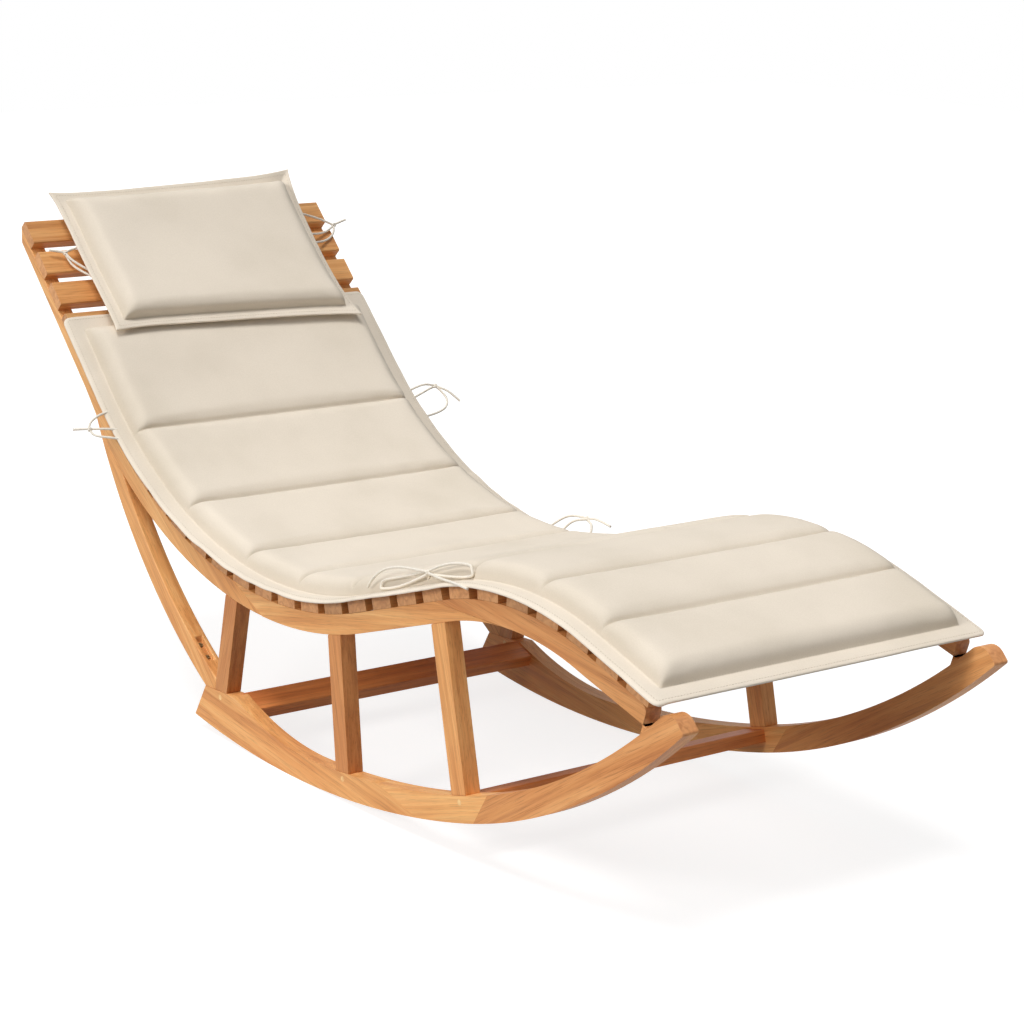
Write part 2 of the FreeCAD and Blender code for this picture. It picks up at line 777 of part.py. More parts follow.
for number in range(slat_count):
    name = "slat_%02d" % (number + 1)
    slat = padded_body(name, slat_section, "sizes.slat_length", True)
    (x, z), heading = slat_seat(slat_width / 2 + number * slat_pitch)
    slat.Placement = FreeCAD.Placement(V(x, 0, z), FreeCAD.Rotation(V(0, -1, 0), math.degrees(heading)))
    NODES.append(slat)

# Small pieces


def solids_node(name, shapes):
    """Identical small pieces as separate solids under one name."""
    feature = doc.addObject("Part::Feature", name)
    feature.Label = name
    feature.Shape = Part.makeCompound(shapes)
    NODES.append(feature)


pegs = []
for post in POSTS:
    length = size("short_peg") if post is front_post else thickness
    for side in (-1, 1):
        start = V(post.peg[0], side * size("slat_length") / 2, post.peg[1])
        pegs.append(Part.makeCylinder(size("peg_diameter") / 2, length, start, V(0, -side, 0)))
solids_node("joint_pegs", pegs)

# Soft pieces


def section_wire(frame, half_width, base, height, flange, edge):
    """A cushion's section: flat underside, thin sewn edges and a crowned middle."""
    origin, normal = frame
    inner = half_width - flange
    shoulder = inner - size("crown_shoulder")
    rise = max(height - edge, 0.6)

    def place(y, n):
        return V(origin[0] + normal[0] * (base + n), y, origin[1] + normal[1] * (base + n))

    side_mid_y = inner - (inner - shoulder) * 0.30
    points = {
        "low_right": place(-half_width, 0),
        "low_left": place(half_width, 0),
        "top_left": place(half_width, edge),
        "in_left": place(inner, edge),
        "mid_left": place(side_mid_y, edge + rise * 0.52),
        "sh_left": place(shoulder, edge + rise * 0.86),
        "crown": place(0, edge + rise),
        "sh_right": place(-shoulder, edge + rise * 0.86),
        "mid_right": place(-side_mid_y, edge + rise * 0.52),
        "in_right": place(-inner, edge),
        "top_right": place(-half_width, edge),
    }
    p = points
    edges = [
        Part.LineSegment(p["low_right"], p["low_left"]).toShape(),
        Part.LineSegment(p["low_left"], p["top_left"]).toShape(),
        Part.LineSegment(p["top_left"], p["in_left"]).toShape(),
        Part.Arc(p["in_left"], p["mid_left"], p["sh_left"]).toShape(),
        Part.Arc(p["sh_left"], p["crown"], p["sh_right"]).toShape(),
        Part.Arc(p["sh_right"], p["mid_right"], p["in_right"]).toShape(),
        Part.LineSegment(p["in_right"], p["top_right"]).toShape(),
        Part.LineSegment(p["top_right"], p["low_right"]).toShape(),
    ]
    return Part.Wire(edges)


PANEL_RISE = ((0.14, 0.74), (0.5, 1.0), (0.86, 0.74))


def panel_stations():
    """Places along the cushion with the height there: low at ends and channels, high between."""
    length = size("cushion_length")
    flange = size("flange_width")
    pitch = size("channel_pitch")
    channels = [size("first_channel") + k * pitch for k in range(int(size("channel_count")))]
    channels = [c for c in channels if c < length - flange - pitch / 3]
    bounds = [flange] + channels + [length - flange]
    full, low, edge = size("cushion_height"), size("channel_height"), size("flange_thickness")
    stations = [(0.0, edge + 0.6, 0.0), (flange, edge + 0.8, 0.0)]
    for one, two in zip(bounds, bounds[1:]):
        span = two - one
        for share, rise in PANEL_RISE:
            stations.append((one + share * span, low + (full - low) * rise, 1.0 - rise))
        if two != bounds[-1]:
            stations.append((two, low, 1.0))
    stations.append((length - flange, edge + 0.8, 0.0))
    stations.append((length, edge + 0.6, 0.0))
    return stations


def long_cushion():
    base = slat_thickness + size("seat_gap") + size("soft_gap") + 0.4
    wires = []
    for along, height, drawn in panel_stations():
        (x, z), heading = rail.at(size("cushion_start") + along)
        frame = ((x, z), (-math.sin(heading), math.cos(heading)))
        half = size("cushion_width") / 2 - drawn * size("draw_in")
        wires.append(section_wire(frame, half, base, height, size("flange_width"), size("flange_thickness")))
    return Part.makeLoft(wires, True, True)


def lens_wire(origin, normal, half_width, height, edge, flange):
    """A pillow's section: thin sewn edges at mid height, crowned above and below."""
    inner = half_width - flange

    def place(y, n):
        return V(origin[0] + normal[0] * n, y, origin[1] + normal[1] * n)

    edges = []
    for sign in (1, -1):
        e, top = sign * edge / 2, sign * height / 2
        edges.append(Part.LineSegment(place(half_width, e), place(inner, e)).toShape())
        edges.append(Part.Arc(place(inner, e), place(0, top), place(-inner, e)).toShape())
        edges.append(Part.LineSegment(place(-inner, e), place(-half_width, e)).toShape())
    for side in (1, -1):
        outer = side * half_width
        edges.append(Part.LineSegment(place(outer, edge / 2), place(outer, -edge / 2)).toShape())
    return Part.Wire(Part.__sortEdges__(edges))


def head_pillow():
    tilt = math.radians(size("pillow_tilt"))
    heading = -back_angle + tilt
    normal = (-math.sin(heading), math.cos(heading))
    height, edge = size("pillow_height"), size("flange_thickness")
    rest = slat_thickness + size("seat_gap") + size("soft_gap") + height / 2
    start, _ = rail.at(0, rest)
    start = moved(start, (math.cos(-back_angle), math.sin(-back_angle)), -size("pillow_reach"))
    length, flange = size("pillow_length"), size("flange_width")
    body = length - 2 * flange
    stations = [(0.0, 0.02), (flange, 0.03)]
    stations += [(flange + body * share, rise) for share, rise in PANEL_RISE]
    stations += [(length - flange, 0.03), (length, 0.02)]
    wires = []
    for along, share in stations:
        origin = moved(start, (math.cos(heading), math.sin(heading)), along)
        swell = edge + (height - edge) * share
        wires.append(lens_wire(origin, normal, size("pillow_width") / 2, swell, edge, flange))
    return Part.makeLoft(wires, True, True)


def soft_node(name, shape):
    feature = doc.addObject("Part::Feature", name)
    feature.Label = name
    feature.Shape = shape
    NODES.append(feature)


soft_node("seat_cushion", long_cushion())
soft_node("head_pillow", head_pillow())

# Ties: each point is a place along the rail, a height above the slats' fronts and a distance
# outside the slats' ends. The first list of a tie is its knot.

TIES = [
    ("back_tie_right", 1, (434, -5, 46), [
        [(408, 3.2, -6.7), (409, 4.5, 12), (421, 1, 40), "knot"],
        [(450, 3.2, -6.7), (446, 4.5, 14), "knot"],
        [(475, 3.2, -6.7), (466, 4, 16), (449, -6, 43), "knot"],
        [(424, -14, 70), (429, -9, 58), "knot"],
    ]),
    ("back_tie_left", -1, (443, 12, 46), [
        [(440, 3.2, -6.7), (436, 15, 18), "knot"],
        [(458, 3.2, -6.7), (450, 9, 20), "knot"],
        [(505, 3.2, -6.7), (500, 4, 36), (478, 9, 60), "knot"],
        [(484, 10, 80), (462, 16, 66), "knot"],
    ]),
    ("seat_tie_right", 1, (1389, 24, -14), [
        [(1232, 17, -12), (1254, 34, -12), (1304, 42, -14), "knot"],
        [(1264, 19.3, -16.5), (1266, 29, -19), (1330, 28, -19), "knot"],
        [(1264, 19.3, -16.5), (1262, 9.6, -14), (1330, 10, -13), "knot"],
        [(1490, 19.5, -16.5), (1488, 29, -17), (1430, 33, -16), "knot"],
        [(1490, 19.5, -16.5), (1492, 10, -16), (1440, 12, -15), "knot"],
        [(1512, -5, 7), (1482, 3, 6), (1436, 8, -4), "knot"],
        [(1374, 8.2, -23), "knot"],
        [(1405, 8.2, -23), "knot"],
    ]),
    ("seat_tie_left", -1, (992, 38, 9), [
        [(903, 3.2, -6.7), (914, 20, 8), (946, 36, 10), "knot"],
        [(938, 3.2, -6.7), (948, 26, 4), "knot"],
        [(1014, 3.2, -6.7), (1014, 26, 6), "knot"],
        [(1052, 32, 14), (1020, 41, 12), "knot"],
    ]),
    ("pillow_tie_right", 1, (81, 11, -42), [
        [(76, 16.7, -66), "knot"],
        [(128, 16.7, -72), (106, 13, -52), "knot"],
        [(142, 16.7, -74), (112, 5, -50), "knot"],
        [(72, 9, -16), "knot"],
    ]),
    ("pillow_tie_left", -1, (60, 5, 9), [
        [(36, 16.7, -60), (39, 6, -24), "knot"],
        [(84, 16.7, -60), (78, 3, -24), "knot"],
        [(104, 16.7, -60), (95, 3, -24), (78, 3.5, 2), "knot"],
        [(53, 10, 36), "knot"],
    ]),
]


def tie_point(local, side):
    """A tie's point in space. The right side, at -Y, is the one that counts as 1."""
    place, height, outside = local
    lift = slat_thickness + size("seat_gap") + height
    x, z = rail.point(place, lift)
    return V(x, -side * (size("slat_length") / 2 + outside), z)


def cord_wire(points):
    """Straight runs joined by tangent arcs, and the smallest arc radius."""
    edges = []
    radii = []
    start = points[0]
    for before, corner, after in zip(points, points[1:], points[2:]):
        one, two = corner - before, after - corner
        turn = one.getAngle(two)
        trim = 0.45 * min(one.Length, two.Length)
        enter = corner - V(one).normalize() * trim
        leave = corner + V(two).normalize() * trim
        radius = trim / math.tan(turn / 2)
        inward = (V(two).normalize() - V(one).normalize()).normalize()
        bulge = radius / math.cos(turn / 2) - radius
        edges.append(Part.LineSegment(start, enter).toShape())
        edges.append(Part.Arc(enter, corner + inward * bulge, leave).toShape())
        radii.append(radius)
        start = leave
    edges.append(Part.LineSegment(start, points[-1]).toShape())
    return Part.Wire(edges), min(radii, default=math.inf)


def ring_wire(middle, direction, diameter):
    """A section with flat sides, square to its direction."""
    along = V(direction).normalize()
    across = V(0, 0, 1).cross(along)
    if across.Length < 0.1:
        across = V(0, 1, 0)
    across = across.normalize() * (diameter / 2)
    turn = FreeCAD.Rotation(along, 360 / size("cord_sides"))
    corners = [across]
    for _ in range(int(size("cord_sides")) - 1):
        corners.append(turn.multVec(corners[-1]))
    return Part.makePolygon([middle + c for c in corners + corners[:1]])


def knot_solid(middle):
    """A knot: a short bead with flat sides, across the rail."""
    width = size("knot_diameter")
    across = V(0, 1, 0)
    rings = []
    for offset, share in ((-0.5, 0.55), (-0.22, 1.0), (0.22, 1.0), (0.5, 0.55)):
        rings.append(ring_wire(middle + across * (offset * width), across, share * width))
    return Part.makeLoft(rings, True, True)


def cord_solid(points):
    wire, radius = cord_wire(points)
    ring = ring_wire(points[0], points[1] - points[0], size("cord_diameter"))
    solid = Part.Solid(wire.makePipeShell([ring], True, False).Shells[0])
    if solid.Volume < 0:
        solid.reverse()
    return solid, wire.Length, radius


for name, side, knot, strands in TIES:
    centre = tie_point(knot, side)
    solids = []
    length = 0.0
    tightest = 1e9
    for number, strand in enumerate(strands):
        turn = 2.1 * number
        spread = V(0, math.cos(turn), math.sin(turn)) * size("loop_spread")
        points = [centre + spread if p == "knot" else tie_point(p, side) for p in strand]
        solid, run, radius = cord_solid(points)
        solids.append(solid)
        length += run
        tightest = min(tightest, radius)
    joined = knot_solid(centre)
    for solid in solids:
        joined = joined.fuse(solid)
    soft_node(name, joined.Solids[0])
    print("%s: %d solid, cord %.0f mm, tightest arc %.1f mm" % (name, len(joined.Solids), length, tightest))

# Recompute, check and write

# The drawing is square to the heels' flat tops. The lounge rolls back from there to where it rests.

doc.recompute()
lean = FreeCAD.Rotation(V(0, -1, 0), size("rest_lean"))
rolled = FreeCAD.Placement(V(), lean, V(roll_centre[0], 0, roll_centre[1]))
for node in NODES:
    node.Placement = rolled.multiply(node.Placement)
doc.recompute()
for item in doc.Objects:
    if "Invalid" in item.State or "Error" in item.State:
        raise RuntimeError("%s did not build: %s" % (item.Label, item.State))
for node in NODES:
    if node.Shape.isNull() or not node.Shape.isValid():
        raise RuntimeError("%s has no valid shape" % node.Label)

os.makedirs("parts", exist_ok=True)
for node in NODES:
    node.Shape.exportStep(os.path.join("parts", node.Label + ".step"))

low = min(node.Shape.BoundBox.XMin for node in NODES)
high = max(node.Shape.BoundBox.XMax for node in NODES)
top = max(node.Shape.BoundBox.ZMax for node in NODES)
floor = min(node.Shape.BoundBox.ZMin for node in NODES)
print("%d nodes, X %.1f to %.1f, Z %.2f to %.1f" % (len(NODES), low, high, floor, top))
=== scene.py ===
import math

import bmesh
import bpy
from mathutils import Matrix, Vector, noise
from mathutils.bvhtree import BVHTree


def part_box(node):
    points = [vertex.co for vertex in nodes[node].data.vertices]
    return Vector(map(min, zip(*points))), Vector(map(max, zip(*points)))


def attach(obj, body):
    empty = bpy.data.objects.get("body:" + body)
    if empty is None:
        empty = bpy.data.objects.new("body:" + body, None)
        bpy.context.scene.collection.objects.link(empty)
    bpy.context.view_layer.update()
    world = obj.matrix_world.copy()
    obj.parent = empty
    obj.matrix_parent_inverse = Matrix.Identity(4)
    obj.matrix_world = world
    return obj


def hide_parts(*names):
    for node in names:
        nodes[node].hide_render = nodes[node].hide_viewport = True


# A rocking chaise lounge of teak slats on two rockers, with a long cushion and a head pillow that
# are tied on. Lengths are in millimetres, which spot() turns into metres, unless a comment says
# metres. Inside a material they are metres too, and a pattern's scale is per metre.

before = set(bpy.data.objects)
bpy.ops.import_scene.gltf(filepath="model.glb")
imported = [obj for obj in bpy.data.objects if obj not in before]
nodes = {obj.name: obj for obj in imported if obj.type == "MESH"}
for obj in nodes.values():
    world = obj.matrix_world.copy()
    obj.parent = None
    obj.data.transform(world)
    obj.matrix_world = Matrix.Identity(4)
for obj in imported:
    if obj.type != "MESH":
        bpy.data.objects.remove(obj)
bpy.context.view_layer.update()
scene = bpy.context.scene

# Where things are: the rail's line in the level drawing, and the roll back to where the lounge rests

CONTACT = -29.9
ROLL_RADIUS = 1750.0
REST_LEAN = math.radians(2.76)
RAIL_HEAD = (CONTACT - 905.8, 783.2)
BACK_ANGLE = math.radians(47.0)
RISE_ANGLE = math.radians(15.7)
FOOT_ANGLE = math.radians(19.8)
BACK_RUN, RISE_RUN, FOOT_RUN = 366.3, 225.3, 134.3
SEAT_RADIUS = 772.2
KNEE_RADIUS = 524.7
# From the head: length and radius, which is 0 on a straight run and below 0 where the rail arches
RAIL_RUNS = [
    (BACK_RUN, 0.0),
    ((BACK_ANGLE + RISE_ANGLE) * SEAT_RADIUS, SEAT_RADIUS),
    (RISE_RUN, 0.0),
    ((RISE_ANGLE + FOOT_ANGLE) * KNEE_RADIUS, -KNEE_RADIUS),
    (FOOT_RUN, 0.0),
]
# The slats' fronts above the rail's line, and their ends from the middle
SLAT_FRONT = 18.2
SLAT_END = 300.0


def stepped(x, z, heading, length, radius):
    """The point and heading after a run of the rail, or after a part of it."""
    if radius == 0:
        return x + length * math.cos(heading), z + length * math.sin(heading), heading
    after = heading + length / radius
    x += radius * (math.sin(after) - math.sin(heading))
    z -= radius * (math.cos(after) - math.cos(heading))
    return x, z, after


def rail_at(place, lift):
    """x and z in the level drawing, at a length along the rail and a height above it."""
    x, z = RAIL_HEAD
    heading = -BACK_ANGLE
    left = place
    last = len(RAIL_RUNS) - 1
    for index, (length, radius) in enumerate(RAIL_RUNS):
        if left <= length or index == last:
            x, z, heading = stepped(x, z, heading, left, radius)
            break
        x, z, heading = stepped(x, z, heading, length, radius)
        left -= length
    return x - lift * math.sin(heading), z + lift * math.cos(heading)


def spot(x, y, z):
    """A point of the level drawing, where it is once the lounge has rolled to rest, in metres."""
    dx, dz = x - CONTACT, z - ROLL_RADIUS
    cos, sin = math.cos(REST_LEAN), math.sin(REST_LEAN)
    return Vector((CONTACT + dx * cos - dz * sin, y, ROLL_RADIUS + dx * sin + dz * cos)) / 1000


def turned(direction):
    """A direction of the level drawing, once the lounge has rolled to rest."""
    return Matrix.Rotation(-REST_LEAN, 3, "Y") @ Vector(direction)


def added(name, data):
    """A new object in the scene."""
    piece = bpy.data.objects.new(name, data)
    scene.collection.objects.link(piece)
    return piece


# Camera: placed against the level drawing, so it rolls back with the lounge

AZIMUTH = math.radians(52.65)
ELEVATION = math.radians(11.77)
CAMERA_PLACE = (CONTACT + 3378.9, -2502.0, 1269.0)
SENSOR = 36.0
FOCAL_PIXELS = 2740.0
PHOTO_PIXELS = 1024.0
FAR_CLIP = 60.0  # metres

flat = math.cos(ELEVATION)
back = turned((math.sin(AZIMUTH) * flat, -math.cos(AZIMUTH) * flat, math.sin(ELEVATION)))
right = turned((math.cos(AZIMUTH), math.sin(AZIMUTH), 0.0))
up = back.cross(right)
camera = added("camera", bpy.data.cameras.new("camera"))
looking = Matrix((right, up, back)).transposed().to_4x4()
camera.matrix_world = Matrix.Translation(spot(*CAMERA_PLACE)) @ looking
camera.data.sensor_width = SENSOR
camera.data.lens = SENSOR * FOCAL_PIXELS / PHOTO_PIXELS
camera.data.clip_end = FAR_CLIP
scene.camera = camera


# Materials

WHITE = (1, 1, 1, 1)


def linear(red, green, blue):
    """A colour in 0 to 255 values, taken back through the sRGB curve, as Blender wants it."""
    out = []
    for value in (red, green, blue):
        c = value / 255
        out.append(c / 12.92 if c <= 0.04045 else ((c + 0.055) / 1.055) ** 2.4)
    return (*out, 1.0)


def changed(colour, steps):
    """The colour with a step added to each of its three values."""
    return linear(*[value + step for value, step in zip(colour, steps)])


class Nodes:
    """A node tree, and short ways to build it."""

    def __init__(self, owner):
        owner.use_nodes = True
        self.tree = owner.node_tree
        self.tree.nodes.clear()

    def node(self, kind, **values):
        n = self.tree.nodes.new(kind)
        for key, value in values.items():
            setattr(n, key, value)
        return n

    def link(self, source, target):
        self.tree.links.new(source, target)

    def put(self, value, socket):
        """A plain value goes into the socket itself, and a node's output is linked to it."""
        if hasattr(value, "is_output"):
            self.link(value, socket)
        else:
            socket.default_value = value

    def math(self, operation, a, b=0.0, clamp=False):
        n = self.node("ShaderNodeMath", operation=operation, use_clamp=clamp)
        self.put(a, n.inputs[0])
        self.put(b, n.inputs[1])
        return n.outputs[0]

    def scaled(self, value, slope, base):
        return self.math("ADD", self.math("MULTIPLY", value, slope), base)

    def place(self, rotation=(0, 0, 0), shift=(0, 0, 0)):
        """Where a point is in its object, turned and then shifted."""
        where = self.node("ShaderNodeTexCoord")
        turn = self.node("ShaderNodeMapping", vector_type="POINT")
        turn.inputs["Rotation"].default_value = rotation
        turn.inputs["Location"].default_value = shift
        self.link(where.outputs["Object"], turn.inputs["Vector"])
        return turn.outputs[0]

    def stretched(self, vector, along, across):
        """Makes a pattern finer by a factor along x and by another one across it."""
        n = self.node("ShaderNodeVectorMath", operation="MULTIPLY")
        self.link(vector, n.inputs[0])
        n.inputs[1].default_value = (along, across, across)
        return n.outputs[0]

    def noise(self, vector, scale, detail=4.0, roughness=0.55, distortion=0.0):
        n = self.node("ShaderNodeTexNoise")
        self.link(vector, n.inputs["Vector"])
        n.inputs["Scale"].default_value = scale
        n.inputs["Detail"].default_value = detail
        n.inputs["Roughness"].default_value = roughness
        n.inputs["Distortion"].default_value = distortion
        return n.outputs[0]

    def ramp(self, value, stops):
        n = self.node("ShaderNodeValToRGB")
        self.link(value, n.inputs[0])
        ramp = n.color_ramp
        while len(ramp.elements) < len(stops):
            ramp.elements.new(0.5)
        for element, (position, colour) in zip(ramp.elements, stops):
            element.position = position
            element.color = colour
        return n.outputs[0]

    def mix(self, share, a, b, blend="MIX"):
        n = self.node("ShaderNodeMix", data_type="RGBA", blend_type=blend)
        self.put(share, n.inputs[0])
        self.put(a, n.inputs[6])
        self.put(b, n.inputs[7])
        return n.outputs[2]

    def bump(self, height, distance, strength, under=None):
        n = self.node("ShaderNodeBump")
        n.inputs["Strength"].default_value = strength
        n.inputs["Distance"].default_value = distance
        self.link(height, n.inputs["Height"])
        if under is not None:
            self.link(under, n.inputs["Normal"])
        return n.outputs[0]

    def seen(self):
        """1 for what the camera sees, straight or in a gloss, and 0 for light on its way."""
        path = self.node("ShaderNodeLightPath")
        return self.math("MAXIMUM", path.outputs["Is Camera Ray"], path.outputs["Is Glossy Ray"])


class Material(Nodes):
    """The node tree of a material with one shader."""

    def __init__(self, name):
        self.material = bpy.data.materials.new(name)
        super().__init__(self.material)
        self.out = self.node("ShaderNodeOutputMaterial")
        self.shader = self.node("ShaderNodeBsdfPrincipled")
        self.link(self.shader.outputs[0], self.out.inputs[0])

    def surface(self, **sockets):
        """Fills the shader's sockets, each named with _ for its spaces."""
        for name, value in sockets.items():
            self.put(value, self.shader.inputs[name.replace("_", " ")])
        return self.material


# Teak: ramps of a pattern's value and colour, which a board's tone and redness change. The rear and
# middle posts' and the stretchers' redness is painted shade, the warmer colour that teak takes in shade.
# Redness takes away this many times as much blue as green. Pores are darker by a factor, whatever the board.
WOOD_LEVEL = 1.07
BLUE_WITH_RED = 1.6
BODY = [(0.30, (170, 104, 52)), (0.44, (203, 139, 78)), (0.56, (220, 160, 98)), (0.72, (238, 187, 126))]
STREAKS = [(0.36, (158, 92, 44)), (0.50, (214, 152, 90)), (0.66, (240, 190, 132))]
PATCHES = [(0.35, (206, 128, 66)), (0.65, (232, 182, 118))]
SAWN = [(0.35, (190, 131, 82)), (0.65, (216, 158, 104))]
PORES = [(0.33, (0.45, 0.36, 0.28, 1)), (0.46, WHITE)]
STREAK_SHARE, PATCH_SHARE, PORE_SHARE = 0.40, 0.22, 0.5
# How nearly a face looks along the grain before it shows end grain, and how fast that sets in
END_FROM, END_RISE = 0.72, 6.0
# Which way through the pattern one board lies from another
BOARD_STEP = (1.0, 0.37, 0.61)


def teak(name, grain, tone, board, red=0.0):
    """Oiled teak with its grain along a direction, its own tone and a redness, cut from its own board."""
    m = Material(name)
    grain = Vector(grain).normalized()
    turn = grain.rotation_difference(Vector((1, 0, 0))).to_euler("XYZ")
    base = m.place(rotation=tuple(turn), shift=tuple(board * step for step in BOARD_STEP))
    level = WOOD_LEVEL + tone

    def wood(stops):
        out = []
        for position, (r, g, b) in stops:
            # Redness takes out green and more blue; on the posts and stretchers it is painted shade
            colour = (r * level, g * level * (1 - red), b * level * (1 - BLUE_WITH_RED * red))
            out.append((position, linear(*[min(255, value) for value in colour])))
        return out

    figure = m.noise(m.stretched(base, 1.1, 16.0), scale=2.2, detail=5.0, distortion=0.9)
    streak = m.noise(m.stretched(base, 1.6, 60.0), scale=2.0, detail=6.0, roughness=0.62, distortion=0.35)
    pores = m.noise(m.stretched(base, 9.0, 420.0), scale=2.0, detail=3.0, roughness=0.6)
    patch = m.noise(base, scale=3.2, detail=2.0)
    colour = m.mix(STREAK_SHARE, m.ramp(figure, wood(BODY)), m.ramp(streak, wood(STREAKS)))
    colour = m.mix(PATCH_SHARE, colour, m.ramp(patch, wood(PATCHES)))
    where = m.node("ShaderNodeNewGeometry")
    facing = m.node("ShaderNodeVectorMath", operation="DOT_PRODUCT")
    m.link(where.outputs["True Normal"], facing.inputs[0])
    facing.inputs[1].default_value = grain
    end = m.math("SUBTRACT", m.math("ABSOLUTE", facing.outputs["Value"]), END_FROM)
    end = m.math("MULTIPLY", end, END_RISE, clamp=True)
    flecked = m.math("MULTIPLY", m.math("SUBTRACT", 1.0, end), PORE_SHARE)
    colour = m.mix(flecked, colour, m.ramp(pores, PORES), "MULTIPLY")
    rings = m.noise(m.place(shift=(board, 0, 0)), scale=85.0, detail=2.0, roughness=0.45, distortion=1.2)
    colour = m.mix(end, colour, m.ramp(rings, wood(SAWN)))
    fine = m.bump(pores, distance=0.00025, strength=0.5)
    return m.surface(
        Base_Color=colour,
        Roughness=m.scaled(streak, 0.22, 0.40),
        Specular_IOR_Level=0.42,
        Normal=m.bump(streak, distance=0.0006, strength=0.35, under=fine),
    )


CREAM = (239, 227, 210)
WEAVE_PITCH = 0.0011
SLUB_SHADE = [(0.3, (0.93, 0.925, 0.91, 1)), (0.62, WHITE)]
GAP_SHADE = [(0.0, (0.955, 0.95, 0.94, 1)), (0.5, WHITE)]
# The painted shade beside the seams and low on the side walls multiplies the cloth by this colour
PAINTED_SHADE_COLOUR = (0.80, 0.79, 0.77, 1)


def canvas(name, shift=0.0):
    """A tight plain weave, drawn along the piece's own seams, with painted shade beside them and low on the
    side walls.
    """
    m = Material(name)
    where = m.node("ShaderNodeUVMap")
    split = m.node("ShaderNodeSeparateXYZ")
    m.link(where.outputs[0], split.inputs[0])
    pitch = 2 * math.pi / WEAVE_PITCH
    warp, weft = [m.math("SINE", m.math("MULTIPLY", split.outputs[axis], pitch)) for axis in (0, 1)]
    cloth = m.scaled(m.math("MULTIPLY", warp, weft), 0.5, 0.5)
    threads = m.place(shift=(shift, shift, shift))
    slub = m.noise(threads, scale=480.0, detail=3.0, roughness=0.6)
    soft = m.noise(threads, scale=6.0, detail=3.0, roughness=0.5)
    darker, lighter = changed(CREAM, (-7, -7, -8)), changed(CREAM, (4, 4, 4))
    colour = m.ramp(soft, [(0.3, darker), (0.5, linear(*CREAM)), (0.7, lighter)])
    colour = m.mix(0.7, colour, m.ramp(slub, SLUB_SHADE), "MULTIPLY")
    colour = m.mix(0.8, colour, m.ramp(cloth, GAP_SHADE), "MULTIPLY")
    # Painted shade: how much darker the cloth is painted beside a seam and low on a side wall
    painted_shade_mask = m.node("ShaderNodeAttribute", attribute_name="seam_shade")
    weave = m.bump(cloth, distance=0.00012, strength=0.55)
    return m.surface(
        Base_Color=m.mix(painted_shade_mask.outputs["Fac"], colour, PAINTED_SHADE_COLOUR, "MULTIPLY"),
        Roughness=m.scaled(slub, 0.15, 0.78),
        Specular_IOR_Level=0.22,
        Sheen_Weight=0.12,
        Sheen_Roughness=0.5,
        Normal=m.bump(slub, distance=0.00018, strength=0.4, under=weave),
    )


def yarn(name, colour, scale):
    """Spun yarn, for the ties and the stitching."""
    m = Material(name)
    fibre = m.noise(m.place(), scale, detail=4.0, roughness=0.6, distortion=0.5)
    return m.surface(
        Base_Color=m.ramp(fibre, [(0.3, changed(colour, (-22, -24, -28))), (0.62, linear(*colour))]),
        Roughness=m.scaled(fibre, 0.2, 0.72),
        Specular_IOR_Level=0.2,
        Normal=m.bump(fibre, distance=0.0004, strength=0.6),
    )


def dull_brass(name):
    m = Material(name)
    brushed = m.noise(m.place(), scale=900.0, detail=3.0, roughness=0.6)
    return m.surface(
        Base_Color=m.ramp(brushed, [(0.3, linear(112, 86, 50)), (0.7, linear(160, 128, 80))]),
        Metallic=0.3,
        Roughness=m.scaled(brushed, 0.25, 0.32),
        Normal=m.bump(brushed, distance=0.0001, strength=0.3),
    )


CLOTH = canvas("canvas_cream")
PILLOW_CLOTH = canvas("canvas_pillow", 0.7)
CORD = yarn("tie_cotton", (247, 240, 228), 700.0)
STITCH = yarn("seam_thread", (226, 214, 197), 1500.0)
SCREW = dull_brass("screw_brass")


def finished(piece, material):
    """Gives a piece its material and its body."""
    piece.data.materials.clear()
    piece.data.materials.append(material)
    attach(piece, "root")


def smoothed(mesh):
    for polygon in mesh.polygons:
        polygon.use_smooth = True


def mesh_piece(name, vertices, faces, uvs=None):
    mesh = bpy.data.meshes.new(name)
    mesh.from_pydata([tuple(v) for v in vertices], [], faces)
    mesh.update()
    if uvs is not None:
        layer = mesh.uv_layers.new(name="UVMap")
        for loop in mesh.loops:
            layer.data[loop.index].uv = uvs[loop.vertex_index]
    return added(name, mesh)


# Ties: a point is a place along the rail, a height above the slats' fronts and a distance outside
# the slats' ends. Each cord has its own line, from where it is sewn on or from the knot.

CORD_DIAMETER = 4.0

